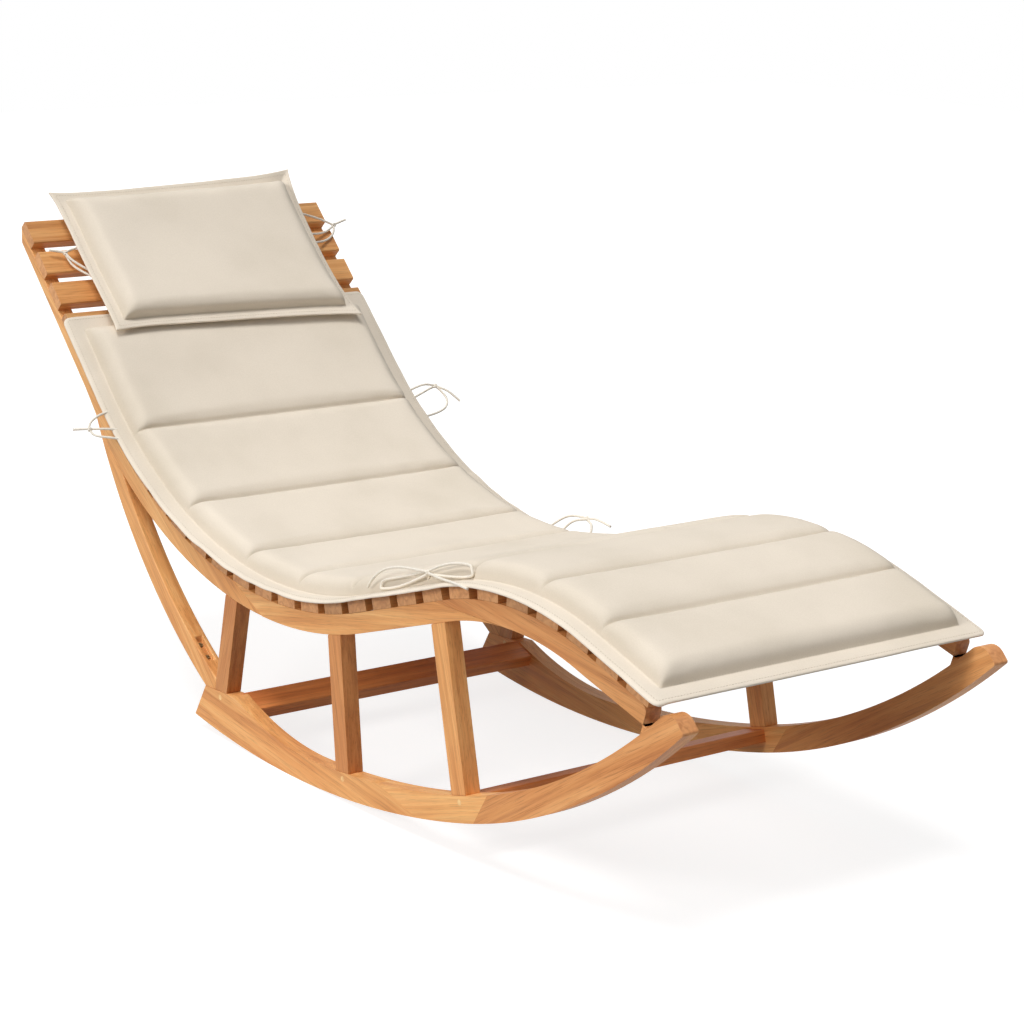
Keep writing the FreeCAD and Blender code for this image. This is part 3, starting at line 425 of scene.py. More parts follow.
# By tie: its side (right 1, left -1), its knot, and its cords with what each one ends in
TIES = [
    ("back_tie_right", 1, (434, -5, 46), [
        ("loop", "object", [
            (408, 3.2, -6.7), (409, 4.5, 12), (421, 1, 40), (431, -4, 47),
            (437, -6, 46), (449, -6, 43), (466, 4, 16), (475, 3.2, -6.7),
        ]),
        ("end", "bare", [(450, 3.2, -6.7), (446, 4.5, 14), (436, -3, 42), (432, -6, 50), (424, -14, 70)]),
    ]),
    ("back_tie_left", -1, (443, 12, 46), [
        ("loop", "object", [
            (458, 3.2, -6.7), (450, 9, 20), (443, 12, 43), (447, 12, 50),
            (478, 9, 60), (500, 4, 36), (505, 3.2, -6.7),
        ]),
        ("end", "bare", [
            (440, 3.2, -6.7), (436, 15, 18), (441, 13, 43), (446, 13, 50), (462, 16, 66), (484, 10, 80),
        ]),
    ]),
    ("seat_tie_right", 1, (1389, 24, -14), [
        ("loop_head", "knot", [
            (1387, 26, -16), (1330, 23, -17), (1268, 24, -17), (1262, 17, -16),
            (1262, 9.6, -14), (1330, 10, -13), (1386, 21, -13),
        ]),
        ("loop_foot", "knot", [
            (1392, 26, -15), (1430, 33, -16), (1488, 29, -17), (1490, 19.5, -16.5),
            (1492, 10, -16), (1440, 12, -15), (1391, 21, -14),
        ]),
        ("end_head", "bare", [
            (1405, 8.2, -23), (1397, 17, -19), (1391, 24, -15), (1382, 27, -13),
            (1304, 42, -14), (1254, 34, -12), (1232, 17, -12),
        ]),
        ("end_foot", "bare", [
            (1374, 8.2, -23), (1382, 17, -19), (1388, 23, -15), (1396, 22, -12),
            (1440, 12, 1), (1488, 5.5, 13), (1517, -1, 14.5),
        ]),
    ]),
    ("seat_tie_left", -1, (992, 38, 9), [
        ("loop", "object", [
            (938, 3.2, -6.7), (948, 26, 4), (988, 37, 8), (996, 37, 9), (1014, 26, 6), (1014, 3.2, -6.7),
        ]),
        ("end", "bare", [
            (903, 3.2, -6.7), (914, 20, 8), (946, 36, 10), (988, 39, 10),
            (996, 39, 10), (1020, 41, 12), (1052, 32, 14),
        ]),
    ]),
    ("pillow_tie_right", 1, (81, 11, -42), [
        ("loop", "object", [(76, 16.7, -66), (78, 13, -46), (84, 11, -42), (106, 13, -52), (128, 16.7, -72)]),
        ("end", "bare", [(142, 16.7, -74), (112, 5, -50), (84, 9, -43), (78, 11, -40), (72, 9, -16)]),
    ]),
    ("pillow_tie_left", -1, (60, 5, 9), [
        ("loop", "object", [
            (36, 16.7, -60), (39, 6, -24), (57, 5, 6), (62, 5, 8), (78, 3, -24), (84, 16.7, -60),
        ]),
        ("end", "bare", [
            (104, 16.7, -60), (95, 3, -24), (78, 3.5, 2), (62, 5, 8), (58, 5, 11), (53, 10, 36),
        ]),
    ]),
]


def tie_spot(local, side):
    """A tie's point in the scene."""
    place, height, outside = local
    x, z = rail_at(place, SLAT_FRONT + height)
    return spot(x, -side * (SLAT_END + outside), z)


def line_length(piece):
    """Length of a curve's own line, in metres."""
    bare = piece.data.copy()
    bare.bevel_depth = 0.0
    holder = added("line", bare)
    mesh = bpy.data.meshes.new_from_object(holder)
    points = [v.co.copy() for v in mesh.vertices]
    bpy.data.objects.remove(holder)
    bpy.data.meshes.remove(mesh)
    bpy.data.curves.remove(bare)
    return sum((b - a).length for a, b in zip(points, points[1:]))


def round_curve(name, radius, resolution, points):
    """A round cord along a NURBS spline, which still needs its order and its ends."""
    curve = bpy.data.curves.new(name, "CURVE")
    curve.dimensions = "3D"
    curve.bevel_depth = radius
    curve.bevel_resolution = 4
    curve.resolution_u = resolution
    spline = curve.splines.new("NURBS")
    spline.points.add(len(points) - 1)
    for point, co in zip(spline.points, points):
        point.co = (*co, 1.0)
    return curve, spline


def cord_piece(name, points):
    curve, spline = round_curve(name, CORD_DIAMETER / 2000, 10, points)
    curve.use_fill_caps = True
    spline.order_u = 3
    spline.use_endpoint_u = True
    return added(name, curve)


KNOT_CORD = 0.0017  # metres, the radius of its cord pulled tight
KNOT_SIZE = 0.00105  # metres, a third of the trefoil's reach
KNOT_POINTS = 18
# A knot is rocked about x by the tilt and a rock for each tie before it, then turned about y likewise
KNOT_TILT = math.radians(70)
KNOT_TURN, KNOT_ROCK = 1.1, 0.3


def knot_piece(name, middle, number):
    """A cord pulled tight through itself, a closed trefoil about the middle, turned by its number."""
    rock = Matrix.Rotation(KNOT_TILT + number * KNOT_ROCK, 3, "X")
    turn = Matrix.Rotation(number * KNOT_TURN, 3, "Y") @ rock
    points = []
    for index in range(KNOT_POINTS):
        t = 2 * math.pi * index / KNOT_POINTS
        x = math.sin(t) + 2 * math.sin(2 * t)
        y = math.cos(t) - 2 * math.cos(2 * t)
        z = -2.0 * math.sin(3 * t)
        points.append(middle + turn @ (Vector((x, y, z)) * KNOT_SIZE))
    curve, spline = round_curve(name, KNOT_CORD, 6, points)
    spline.order_u = 4
    spline.use_cyclic_u = True
    holder = added(name + "_line", curve)
    mesh = bpy.data.meshes.new_from_object(holder)
    bpy.data.objects.remove(holder)
    bpy.data.curves.remove(curve)
    mesh.name = name
    smoothed(mesh)
    return added(name, mesh)


for number, (tie, side, knot, strands) in enumerate(TIES):
    middle = tie_spot(knot, side)
    bead = knot_piece(tie + "_knot", middle, number)
    finished(bead, CORD)
    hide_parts(tie)
    for order, (part, far_end, local) in enumerate(strands):
        points = [tie_spot(p, side) for p in local]
        piece = cord_piece(tie + "_" + part, points)
        finished(piece, CORD)
        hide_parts(tie)
        round(line_length(piece), 4)


# Wood: every timber keeps its own shape and gets a board of its own, with eased edges


def chord(start, end):
    """The way a timber's grain runs: a straight line between two places on the rail."""
    ax, az = rail_at(start, 0)
    bx, bz = rail_at(end, 0)
    return tuple(spot(bx, 0, bz) - spot(ax, 0, az))


def corner_to_corner(node, climb):
    """The long way through a timber's box, climbing towards the foot (1) or falling (-1)."""
    low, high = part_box(node)
    return (high.x - low.x, 0.0, climb * (high.z - low.z))


ACROSS = (0.0, 1.0, 0.0)
# By timber: the way its grain runs, its tone and its redness. The redness of the rear and middle posts
# and of the stretchers is painted shade, the warmer colour that teak takes in shade.
TIMBERS = {
    "rail_back": (chord(0, 850), 0.02, 0.0),
    "rail_seat": (chord(880, 1480), 0.03, 0.0),
    "rail_leg": (chord(1500, 1880), -0.05, 0.04),
    "back_stay": (corner_to_corner("back_stay_right", -1), 0.04, 0.0),
    "runner_heel": (corner_to_corner("runner_heel_right", -1), 0.04, 0.0),
    "runner_middle": (corner_to_corner("runner_middle_right", 1), 0.06, 0.0),
    "runner_tip": (corner_to_corner("runner_tip_right", 1), -0.04, 0.04),
    # Painted shade: the rear and middle posts are made redder, as teak looks in shade
    "rear_post": (corner_to_corner("rear_post_right", 1), -0.12, 0.06),
    "middle_post": (corner_to_corner("middle_post_right", -1), -0.08, 0.07),
    "front_post": (corner_to_corner("front_post_right", -1), 0.03, 0.0),
    "joint_pegs": (ACROSS, 0.14, -0.12),
    # Painted shade: the stretchers are made redder, as teak looks in shade
    "rear_stretcher": (ACROSS, 0.02, 0.13),
    "front_stretcher": (ACROSS, 0.0, 0.13),
}
# The slats take these tones in turn, softened and darker than the frame
SLAT_TONES = (0.0, 0.05, -0.05, 0.08, -0.02, 0.03, -0.08)
SLAT_CONTRAST, SLAT_DARKER, SLAT_WANDER = 0.8, 0.07, 0.02
# How far one timber's pattern lies from the next one's, in metres
SLAT_BOARD, TIMBER_BOARD = 3.1, 2.3
# Widths of the eased edges and the gap that counts as joined, in metres, and the least angle eased
SMALL_EASE, EASE = 0.0006, 0.0014
JOIN = 0.00002
EASED_ANGLE = math.radians(38)


def slat_tone(index):
    """Five on from the last slat's tone, and wandering a little."""
    tone = SLAT_TONES[(index * 5) % len(SLAT_TONES)]
    wander = SLAT_WANDER * noise.noise(Vector((index * 1.7, 0.3, 0.0)))
    return tone * SLAT_CONTRAST - SLAT_DARKER + wander


def eased(piece, width):
    """Joins the facets and rounds the sharp edges a little, as sanding does."""
    weld = piece.modifiers.new("join", "WELD")
    weld.merge_threshold = JOIN
    bevel = piece.modifiers.new("ease", "BEVEL")
    bevel.width = width
    bevel.segments = 2
    bevel.limit_method = "ANGLE"
    bevel.angle_limit = EASED_ANGLE
    bevel.use_clamp_overlap = True
    smooth = piece.modifiers.new("facets", "WEIGHTED_NORMAL")
    smooth.keep_sharp = False


for number, name in enumerate(sorted(nodes)):
    piece = nodes[name]
    stem = name.replace("_right", "").replace("_left", "")
    if name.startswith("slat"):
        index = int(name.split("_")[1])
        material = teak("teak_" + name, ACROSS, slat_tone(index), index * SLAT_BOARD)
    elif stem in TIMBERS:
        grain, tone, red = TIMBERS[stem]
        material = teak("teak_" + name, grain, tone, number * TIMBER_BOARD, red)
    else:
        continue
    piece.data.materials.clear()
    piece.data.materials.append(material)
    for polygon in piece.data.polygons:
        polygon.material_index = 0
    eased(piece, SMALL_EASE if name.startswith("slat") or name == "joint_pegs" else EASE)


# Soft goods: a grid of places along and across, close together beside every seam

# How far from a seam the grid's lines run beside it, and about how far apart they are elsewhere
NEAR = (0.0, 2.2, 5.5, 10.5, 17.0, 25.0)
ALONG_STEP, ACROSS_STEP = 11.5, 13.5
# Places across the sewn edge, as shares from its rim to its seam, and back out to the rim
RIM_IN = (0.0, 0.03, 0.12, 0.32, 0.58, 0.82, 0.95)
RIM_OUT = [0.0] + [1 - share for share in RIM_IN[:0:-1]] + [1.0]
# Painted shade in the cloth's colour: how dark the cloth is beside a seam, beside it more widely, and low
# on the side walls, each with how far that reaches, and how far the walls' own lies in from the seam
PAINTED_SEAM_DARK, SEAM_REACH = 0.60, 3.5
PAINTED_SLOPE_DARK, SLOPE_REACH = 0.20, 14.0
PAINTED_WALL_DARK, WALL_REACH, WALL_IN = 0.45, 11.0, 4.0
# The cloth that is blown up from inside, without gravity, and its slack, as a shrinking below 0
PRESSURE = 4.0
FRAMES = 20
SHRINK = -0.003
CLOTH_SETTINGS = {
    "quality": 6,
    "mass": 0.25,
    "tension_stiffness": 20,
    "compression_stiffness": 12,
    "shear_stiffness": 8,
    "bending_stiffness": 0.6,
    "use_pressure": True,
    "uniform_pressure_force": PRESSURE,
    "vertex_group_mass": "held",
    "pin_stiffness": 1.0,
    "shrink_min": SHRINK,
}


def between(start, end, step):
    """Places from one seam to the next, without the last."""
    reach = NEAR[-1]
    middle = end - start - 2 * reach
    places = [start + n for n in NEAR]
    count = max(1, round(middle / step))
    places += [start + reach + middle * k / count for k in range(1, count)]
    places += [end - n for n in NEAR[:0:-1]]
    return places


def edge_places(start, end, shares):
    return [start + (end - start) * share for share in shares]


def swell(distance, reach, power):
    """How far cloth has risen at a distance from the seam that holds it, from 0 to 1."""
    share = min(max(distance / reach, 0.0), 1.0)
    return (1 - (1 - share) ** power) ** (1 / power)


class Cushion:
    """A stuffed piece between two sheets of cloth, with a flat sewn edge all round."""

    def __init__(self, name, length, width, flange, seams, put):
        self.name, self.length, self.width, self.flange = name, length, width, flange
        self.seams, self.put = seams, put
        self.lines = [flange, *seams, length - flange]
        self.along = edge_places(0.0, flange, RIM_IN)
        for one, two in zip(self.lines, self.lines[1:]):
            self.along += between(one, two, ALONG_STEP)
        self.along += edge_places(length - flange, length, RIM_OUT)
        half = width / 2
        self.across = edge_places(-half, flange - half, RIM_IN)
        self.across += between(flange - half, half - flange, ACROSS_STEP)
        self.across += edge_places(half - flange, half, RIM_OUT)

    def build(self, top, bottom, outline):
        """top and bottom give heights, outline moves the sewn edge in its own plane."""
        rows, columns = len(self.along), len(self.across)
        vertices, uvs, self.keys = [], [], []
        for sheet, height in (("top", top), ("bottom", bottom)):
            for s in self.along:
                for y in self.across:
                    vertices.append(self.put(*outline(s, y), height(s, y)))
                    uvs.append((s / 1000, y / 1000))
                    self.keys.append((sheet, s, y))
        faces = []
        size = rows * columns
        for i in range(rows - 1):
            for j in range(columns - 1):
                a = i * columns + j
                b, c, d = a + 1, a + columns + 1, a + columns
                faces.append((a, b, c, d))
                faces.append((size + d, size + c, size + b, size + a))
        rim = [(0, j) for j in range(columns)]
        rim += [(i, columns - 1) for i in range(1, rows)]
        rim += [(rows - 1, j) for j in range(columns - 2, -1, -1)]
        rim += [(i, 0) for i in range(rows - 2, 0, -1)]
        for (i, j), (k, m) in zip(rim, rim[1:] + rim[:1]):
            a, b = i * columns + j, k * columns + m
            faces.append((b, a, size + a, size + b))
        self.piece = mesh_piece(self.name, vertices, faces, uvs)
        mesh = bmesh.new()
        mesh.from_mesh(self.piece.data)
        bmesh.ops.recalc_face_normals(mesh, faces=mesh.faces)
        mesh.to_mesh(self.piece.data)
        mesh.free()
        smoothed(self.piece.data)

    def from_rim(self, s, y):
            return min(s, self.length - s, self.width / 2 - abs(y))

    def inside(self, s, y):
        """Distances from the edge seam's two runs, along and across; negative in the sewn edge."""
        return min(s, self.length - s) - self.flange, self.width / 2 - self.flange - abs(y)

    def panel(self, s):
        """The panel at s as its two seams."""
        for one, two in zip(self.lines, self.lines[1:]):
            if one <= s <= two:
                return one, two
        return None

    def shade(self):
        """Marks how dark each point's cloth is painted, as shade beside a seam and low on the side walls."""
        layer = self.piece.data.attributes.new("seam_shade", "FLOAT", "POINT")
        for index, (_, s, y) in enumerate(self.keys):
            from_end, from_side = self.inside(s, y)
            if from_end < -1e-6 or from_side < -1e-6:
                continue
            one, two = self.panel(s)
            near = min(s - one, two - s, from_side)
            painted_dark = PAINTED_SEAM_DARK * math.exp(-near / SEAM_REACH)
            painted_dark += PAINTED_SLOPE_DARK * math.exp(-((near / SLOPE_REACH) ** 2))
            painted_dark += PAINTED_WALL_DARK * math.exp(-(((from_side - WALL_IN) / WALL_REACH) ** 2))
            layer.data[index].value = min(1.0, painted_dark)

    def hold(self, weight):
        """Pins the points that the seams, the edge or what lies below hold."""
        group = self.piece.vertex_groups.new(name="held")
        for index, key in enumerate(self.keys):
            value = weight(*key)
            if value > 0:
                group.add([index], value, "REPLACE")

    def inflate(self, cap):
        """Blows the cloth up against its seams, and lets no point go further than cap metres."""
        start = [v.co.copy() for v in self.piece.data.vertices]
        modifier = self.piece.modifiers.new("cloth", "CLOTH")
        for key, value in CLOTH_SETTINGS.items():
            setattr(modifier.settings, key, value)
        modifier.settings.effector_weights.gravity = 0.0
        modifier.point_cache.frame_start = 1
        modifier.point_cache.frame_end = FRAMES
        modifier.collision_settings.use_collision = False
        modifier.collision_settings.use_self_collision = False
        for number in range(1, FRAMES + 1):
            scene.frame_set(number)
        graph = bpy.context.evaluated_depsgraph_get()
        blown = [v.co.copy() for v in self.piece.evaluated_get(graph).data.vertices]
        self.piece.modifiers.remove(modifier)
        scene.frame_set(1)
        for vertex, before, after in zip(self.piece.data.vertices, start, blown):
            move = after - before
            far = move.length
            if far > 1e-9:
                vertex.co = before + move * (cap * math.tanh(far / cap) / far)
        self.piece.data.update()

    def subdivided(self):
        smooth = self.piece.modifiers.new("smooth", "SUBSURF")
        smooth.levels = 1
        smooth.render_levels = 1
        smooth.boundary_smooth = "PRESERVE_CORNERS"


# A rise of power 2 is a quarter circle, and a higher one is steeper; rims are rounded over RIM_ROUND
ROUND = 2.0
RIM_ROUND = 5.0
# Gathers: their height, their pitch along a seam, their length away from it, and the noise's seed
CHANNEL_GATHERS = (0.7, 13.0, 70.0, 1.5)
SIDE_GATHERS = (0.7, 14.0, 70.0, 7.5)
PILLOW_END_GATHERS = (0.6, 14.0, 60.0, 3.3)
PILLOW_SIDE_GATHERS = (0.6, 14.0, 60.0, 5.3)
GATHER_REACH = 12.0


def ripple(s, y, seed):
    """Small waves, from -1 to 1."""
    return noise.noise(Vector((s, y, seed)))


def gathers(kind, along, away, distance):
    """Small folds beside a seam, which fade at a distance from it."""
    height, pitch, length, seed = kind
    return height * ripple(along / pitch, away / length, seed) * math.exp(-distance / GATHER_REACH)


# Seat cushion: its place along the rail and its size, how far it lies to the right of the middle,
# and its underside above the rail's line
CUSHION_START, CUSHION_LENGTH, CUSHION_WIDTH = 211.0, 1711.0, 611.0
CUSHION_SHIFT = -6.5
CUSHION_BASE = 19.2
FLANGE = 30.0
# Along the rail, as the photograph shows them; the three in the hollow come from their ends
CHANNEL_PLACES = (471.0, 672.0, 862.0, 1020.0, 1175.0, 1335.0, 1487.0, 1634.0, 1760.0)
CHANNELS = [place - CUSHION_START for place in CHANNEL_PLACES]
# Heights: the sewn edge, a channel's floor, a panel, and a panel's middle above that
EDGE = 5.0
CHANNEL_HEIGHT = 20.0
FULL = 30.5
CROWN = 0.8
# How far from the edge's seam and from a channel a panel is full, and how steeply it rises to that
# from the sides and from the ends
WALL, CHANNEL_WALL = 26.0, 18.0
SIDE_POWER, END_POWER = 2.4, 2.2
# The gathers of the side walls grow over this, and the panels' own waves over the next: their
# height, length and seed
SIDE_START = 16.0
PUFF_START = 40.0
PUFF, PUFF_LENGTH, PUFF_SEED = 0.5, 95.0, 2.5
# The lower sheet is drawn up at a channel and at the sides: height and reach
CHANNEL_TUCK, CHANNEL_TUCK_REACH = 1.6, 6.0
SIDE_TUCK, SIDE_TUCK_REACH = 1.4, 7.0
# The sewn edge: how thin its rim is, as a share. Its waves: their lengths and seed, the left side's
# shift, what is added before those below 0 are cut off, how they grow towards the rim, and their
# height, with what the hollow adds around its middle.
RIM_THIN = 0.62
WAVE_ALONG, WAVE_ACROSS, WAVE_SEED = 46.0, 120.0, 4.2
OTHER_SIDE, WAVE_FLOOR, WAVE_POWER = 3.0, 0.15, 1.5
WAVE, HOLLOW_WAVE = 1.2, 3.5
HOLLOW, HOLLOW_REACH = 640.0, 330.0
# Its droop, by the square of how far it is past a line just inside the slats' ends
DROOP, DROOP_FROM = 0.012, 2.0
CORNER_RADIUS = 12.0
# A seam holds the points that are this near to it
HELD_WITHIN = 0.5


def on_rail(s, y, height):
    x, z = rail_at(CUSHION_START + s, CUSHION_BASE + height)
    return spot(x, y + CUSHION_SHIFT, z)


cushion = Cushion("seat_cushion_cloth", CUSHION_LENGTH, CUSHION_WIDTH, FLANGE, CHANNELS, on_rail)


def edge_wave(s, y):
    """The sewn edge lifts off the slats in places, most in the hollow, and droops past their ends."""
    from_end, from_side = cushion.inside(s, y)
    out = max(-from_end, -from_side, 0.0) / FLANGE
    hollow = math.exp(-(((s - HOLLOW) / HOLLOW_REACH) ** 2))
    wave = ripple(s / WAVE_ALONG, y / WAVE_ACROSS + (OTHER_SIDE if y > 0 else 0.0), WAVE_SEED)
    lift = max(wave + WAVE_FLOOR, 0.0) * (WAVE + HOLLOW_WAVE * hollow) * out ** WAVE_POWER
    over = max(abs(y + CUSHION_SHIFT) - SLAT_END + DROOP_FROM, 0.0)
    return lift - DROOP * over ** 2


def cushion_top(s, y):
    from_end, from_side = cushion.inside(s, y)
    if from_end <= 0 or from_side <= 0:
        thick = EDGE * (RIM_THIN + (1 - RIM_THIN) * swell(cushion.from_rim(s, y), RIM_ROUND, ROUND))
        return thick + edge_wave(s, y)
    one, two = cushion.panel(s)
    low_one = EDGE if one == FLANGE else CHANNEL_HEIGHT
    low_two = EDGE if two == CUSHION_LENGTH - FLANGE else CHANNEL_HEIGHT
    share = (s - one) / (two - one)
    low = low_one + (low_two - low_one) * share
    near_seam = min(s - one, two - s)
    end_seam = (low_one if s - one < two - s else low_two) == EDGE
    height = low + (FULL - low) * swell(near_seam, WALL if end_seam else CHANNEL_WALL, END_POWER)
    height += CROWN * (1 - (2 * share - 1) ** 2)
    side_rise = swell(from_side, WALL, SIDE_POWER)
    height = EDGE + (height - EDGE) * side_rise
    small = gathers(CHANNEL_GATHERS, y, s, near_seam) * side_rise
    small += gathers(SIDE_GATHERS, s, y, from_side) * swell(from_side, SIDE_START, ROUND)
    puff = PUFF * ripple(s / PUFF_LENGTH, y / PUFF_LENGTH, PUFF_SEED)
    small += puff * side_rise * swell(near_seam, PUFF_START, ROUND)
    return height + small


def cushion_bottom(s, y):
    """Flat on the slats but for its seams, which are drawn up a little."""
    from_end, from_side = cushion.inside(s, y)
    if from_end <= 0 or from_side <= 0:
        return 1 - swell(cushion.from_rim(s, y), RIM_ROUND, ROUND) + edge_wave(s, y)
    one, two = cushion.panel(s)
    near_seam = min(s - one, two - s)
    tuck = CHANNEL_TUCK * math.exp(-near_seam / CHANNEL_TUCK_REACH)
    return tuck + SIDE_TUCK * math.exp(-from_side / SIDE_TUCK_REACH)


def cushion_outline(s, y):
    """Rounds the four corners of the sewn edge."""
    half = CUSHION_WIDTH / 2
    end = CORNER_RADIUS - min(s, CUSHION_LENGTH - s)
    if end > 0:
        half -= CORNER_RADIUS - math.sqrt(max(CORNER_RADIUS ** 2 - end * end, 0.0))
    return s, y * half / (CUSHION_WIDTH / 2)


def cushion_weight(sheet, s, y):
    """The slats hold the lower sheet, and the seams and channels hold the upper one."""
    from_end, from_side = cushion.inside(s, y)
    if sheet == "bottom" or from_end <= HELD_WITHIN or from_side <= HELD_WITHIN:
        return 1.0
    one, two = cushion.panel(s)
    return 1.0 if min(s - one, two - s) < HELD_WITHIN else 0.0


cushion.build(cushion_top, cushion_bottom, cushion_outline)
# Painted shade: the cloth is darker beside its seams and low on its side walls
cushion.shade()
cushion.hold(cushion_weight)
cushion.inflate(cap=0.002)
cushion.subdivided()
finished(cushion.piece, CLOTH)
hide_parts("seat_cushion")

# Head pillow: the same cloth, full on both sides, its corners drawn out to points

PILLOW_LENGTH, PILLOW_WIDTH = 305.0, 490.0
PILLOW_FLANGE = 19.0
# How far the pillow reaches past the rail's head, and its middle above the rail's line, which is the
# slats, the gaps and half the pillow added up
PILLOW_REACH = 39.0
PILLOW_REST = 18.0 + 0.2 + 0.6 + 21.0
# Its puff in front and behind, how steeply that rises, and how much higher the middle stands
PILLOW_FULL, PILLOW_BACK = 24.5, 15.5
PILLOW_POWER = 2.5
PILLOW_CROWN = 1.6
# Half the thickness of the seam and of the rim, and how far from the seam the gathers are full
PILLOW_SEAM, PILLOW_RIM = 2.4, 1.2
PILLOW_START = 4.0
# How far its foot edge stands off the slats, on the cushion
PILLOW_LIFT = 20.0
# The sewn edge's waves: height, length along and across, and the noise's seed
PILLOW_WAVE = 1.6
PILLOW_ALONG, PILLOW_ACROSS, PILLOW_SEED = 55.0, 70.0, 9.1
# How far the edges are drawn in between the corners, as shares, and all the cloth to the left
DRAWN_SIDE, DRAWN_END, DRAWN_LEFT = 0.016, 0.022, 4.0
# By corner, as its end (head -1, foot 1) and side (right -1, left 1): along, across and up
PILLOW_CORNERS = {
    (-1, -1): (1.0, 3.0, 0.0),
    (-1, 1): (-13.0, 0.0, 9.0),
    (1, -1): (3.0, 1.0, 0.0),
    (1, 1): (22.0, -7.0, 0.0),
}


def on_back(s, y, height):
    """The pillow lies on the slats, and its lower edge on the cushion."""
    lift = PILLOW_LIFT * max(s / PILLOW_LENGTH, 0.0) ** 3
    x, z = rail_at(0.0, PILLOW_REST + lift + height)
    along = s - PILLOW_REACH
    return spot(x + along * math.cos(BACK_ANGLE), y, z - along * math.sin(BACK_ANGLE))


pillow = Cushion("head_pillow_cloth", PILLOW_LENGTH, PILLOW_WIDTH, PILLOW_FLANGE, [], on_back)


def from_middle(s, y):
    """A place on the pillow as shares of its half length and half width, from -1 to 1."""
    return 2 * s / PILLOW_LENGTH - 1, 2 * y / PILLOW_WIDTH


def pillow_side(s, y, full):
    from_end, from_side = pillow.inside(s, y)
    if from_end <= 0 or from_side <= 0:
        return PILLOW_RIM + PILLOW_RIM * swell(pillow.from_rim(s, y), RIM_ROUND, ROUND)
    rise = swell(from_end, WALL, PILLOW_POWER) * swell(from_side, WALL, PILLOW_POWER)
    u, v = from_middle(s, y)
    crown = PILLOW_CROWN * (1 - u * u) * (1 - v * v)
    small = gathers(PILLOW_END_GATHERS, y, s, from_end) + gathers(PILLOW_SIDE_GATHERS, s, y, from_side)
    started = min(1.0, from_end / PILLOW_START, from_side / PILLOW_START)
    return PILLOW_SEAM + full * rise + crown + small * started


def pillow_curl(s, y):
    """The free edge waves a little, and its corners curl up by their own amounts."""
    from_end, from_side = pillow.inside(s, y)
    out = max(-from_end, -from_side, 0.0) / PILLOW_FLANGE
    u, v = from_middle(s, y)
    curl = 0.0
    for (corner_u, corner_v), (_, _, lift) in PILLOW_CORNERS.items():
        curl += lift * (max(1 + u * corner_u, 0.0) * max(1 + v * corner_v, 0.0) / 4) ** 3
    wave = ripple(s / PILLOW_ALONG, y / PILLOW_ACROSS, PILLOW_SEED)
    return PILLOW_WAVE * out * wave + curl * out


def pillow_top(s, y):
    return pillow_side(s, y, PILLOW_FULL) + pillow_curl(s, y)


def pillow_bottom(s, y):
    return -pillow_side(s, y, PILLOW_BACK) + pillow_curl(s, y)


def pillow_outline(s, y):
    """Draws the edges in between the corners, and each corner to its own place."""
    u, v = from_middle(s, y)
    side = 1 - DRAWN_SIDE * (1 - u ** 4) + DRAWN_SIDE * u ** 8
    end = 1 - DRAWN_END * (1 - v ** 4) + DRAWN_END * v ** 8
    along, across = PILLOW_LENGTH / 2 * (1 + u * end), PILLOW_WIDTH / 2 * v * side
    across += DRAWN_LEFT * (1 - u ** 8) * (1 - v ** 8)
    for (corner_u, corner_v), (shift_along, shift_across, _) in PILLOW_CORNERS.items():
        share = (1 + u * corner_u) * (1 + v * corner_v) / 4
        along += shift_along * share
        across += shift_across * share
    return along, across


def pillow_weight(sheet, s, y):
    """Only the sewn edge is held, in both sheets alike."""
    from_end, from_side = pillow.inside(s, y)
    return 1.0 if from_end <= HELD_WITHIN or from_side <= HELD_WITHIN else 0.0


pillow.build(pillow_top, pillow_bottom, pillow_outline)
# Painted shade: the cloth is darker beside its seams and low on its side walls
pillow.shade()
pillow.hold(pillow_weight)
pillow.inflate(cap=0.0018)
pillow.subdivided()
finished(pillow.piece, PILLOW_CLOTH)
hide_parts("head_pillow")


# Stitching: short threads on every seam and along the hem, each laid where the cloth is

STITCH_PITCH, STITCH_LENGTH = 5.2, 3.4
STITCH_THICK = 0.00042  # metres
LONGEST_STITCH = 0.012  # metres
# Where the search for the cloth starts and ends, as heights, and the hem's distance from the rim
ABOVE, BELOW = 70.0, -5.0
HEM = 7.0
# A stitch is open at its ends by a share, and its sides and its top stand so many thicknesses off
# the cloth, and its middle so many more
STITCH_INSET = 0.1
STITCH_SIDE, STITCH_TOP, STITCH_HUMP = -0.3, 1.1, 0.7
# Two ends of three points each, then three in the middle
STITCH_FACES = (
    (0, 1, 7, 6), (1, 2, 8, 7), (6, 7, 4, 3), (7, 8, 5, 4),
    (0, 2, 1), (3, 4, 5), (0, 6, 8, 2), (6, 3, 5, 8),
)


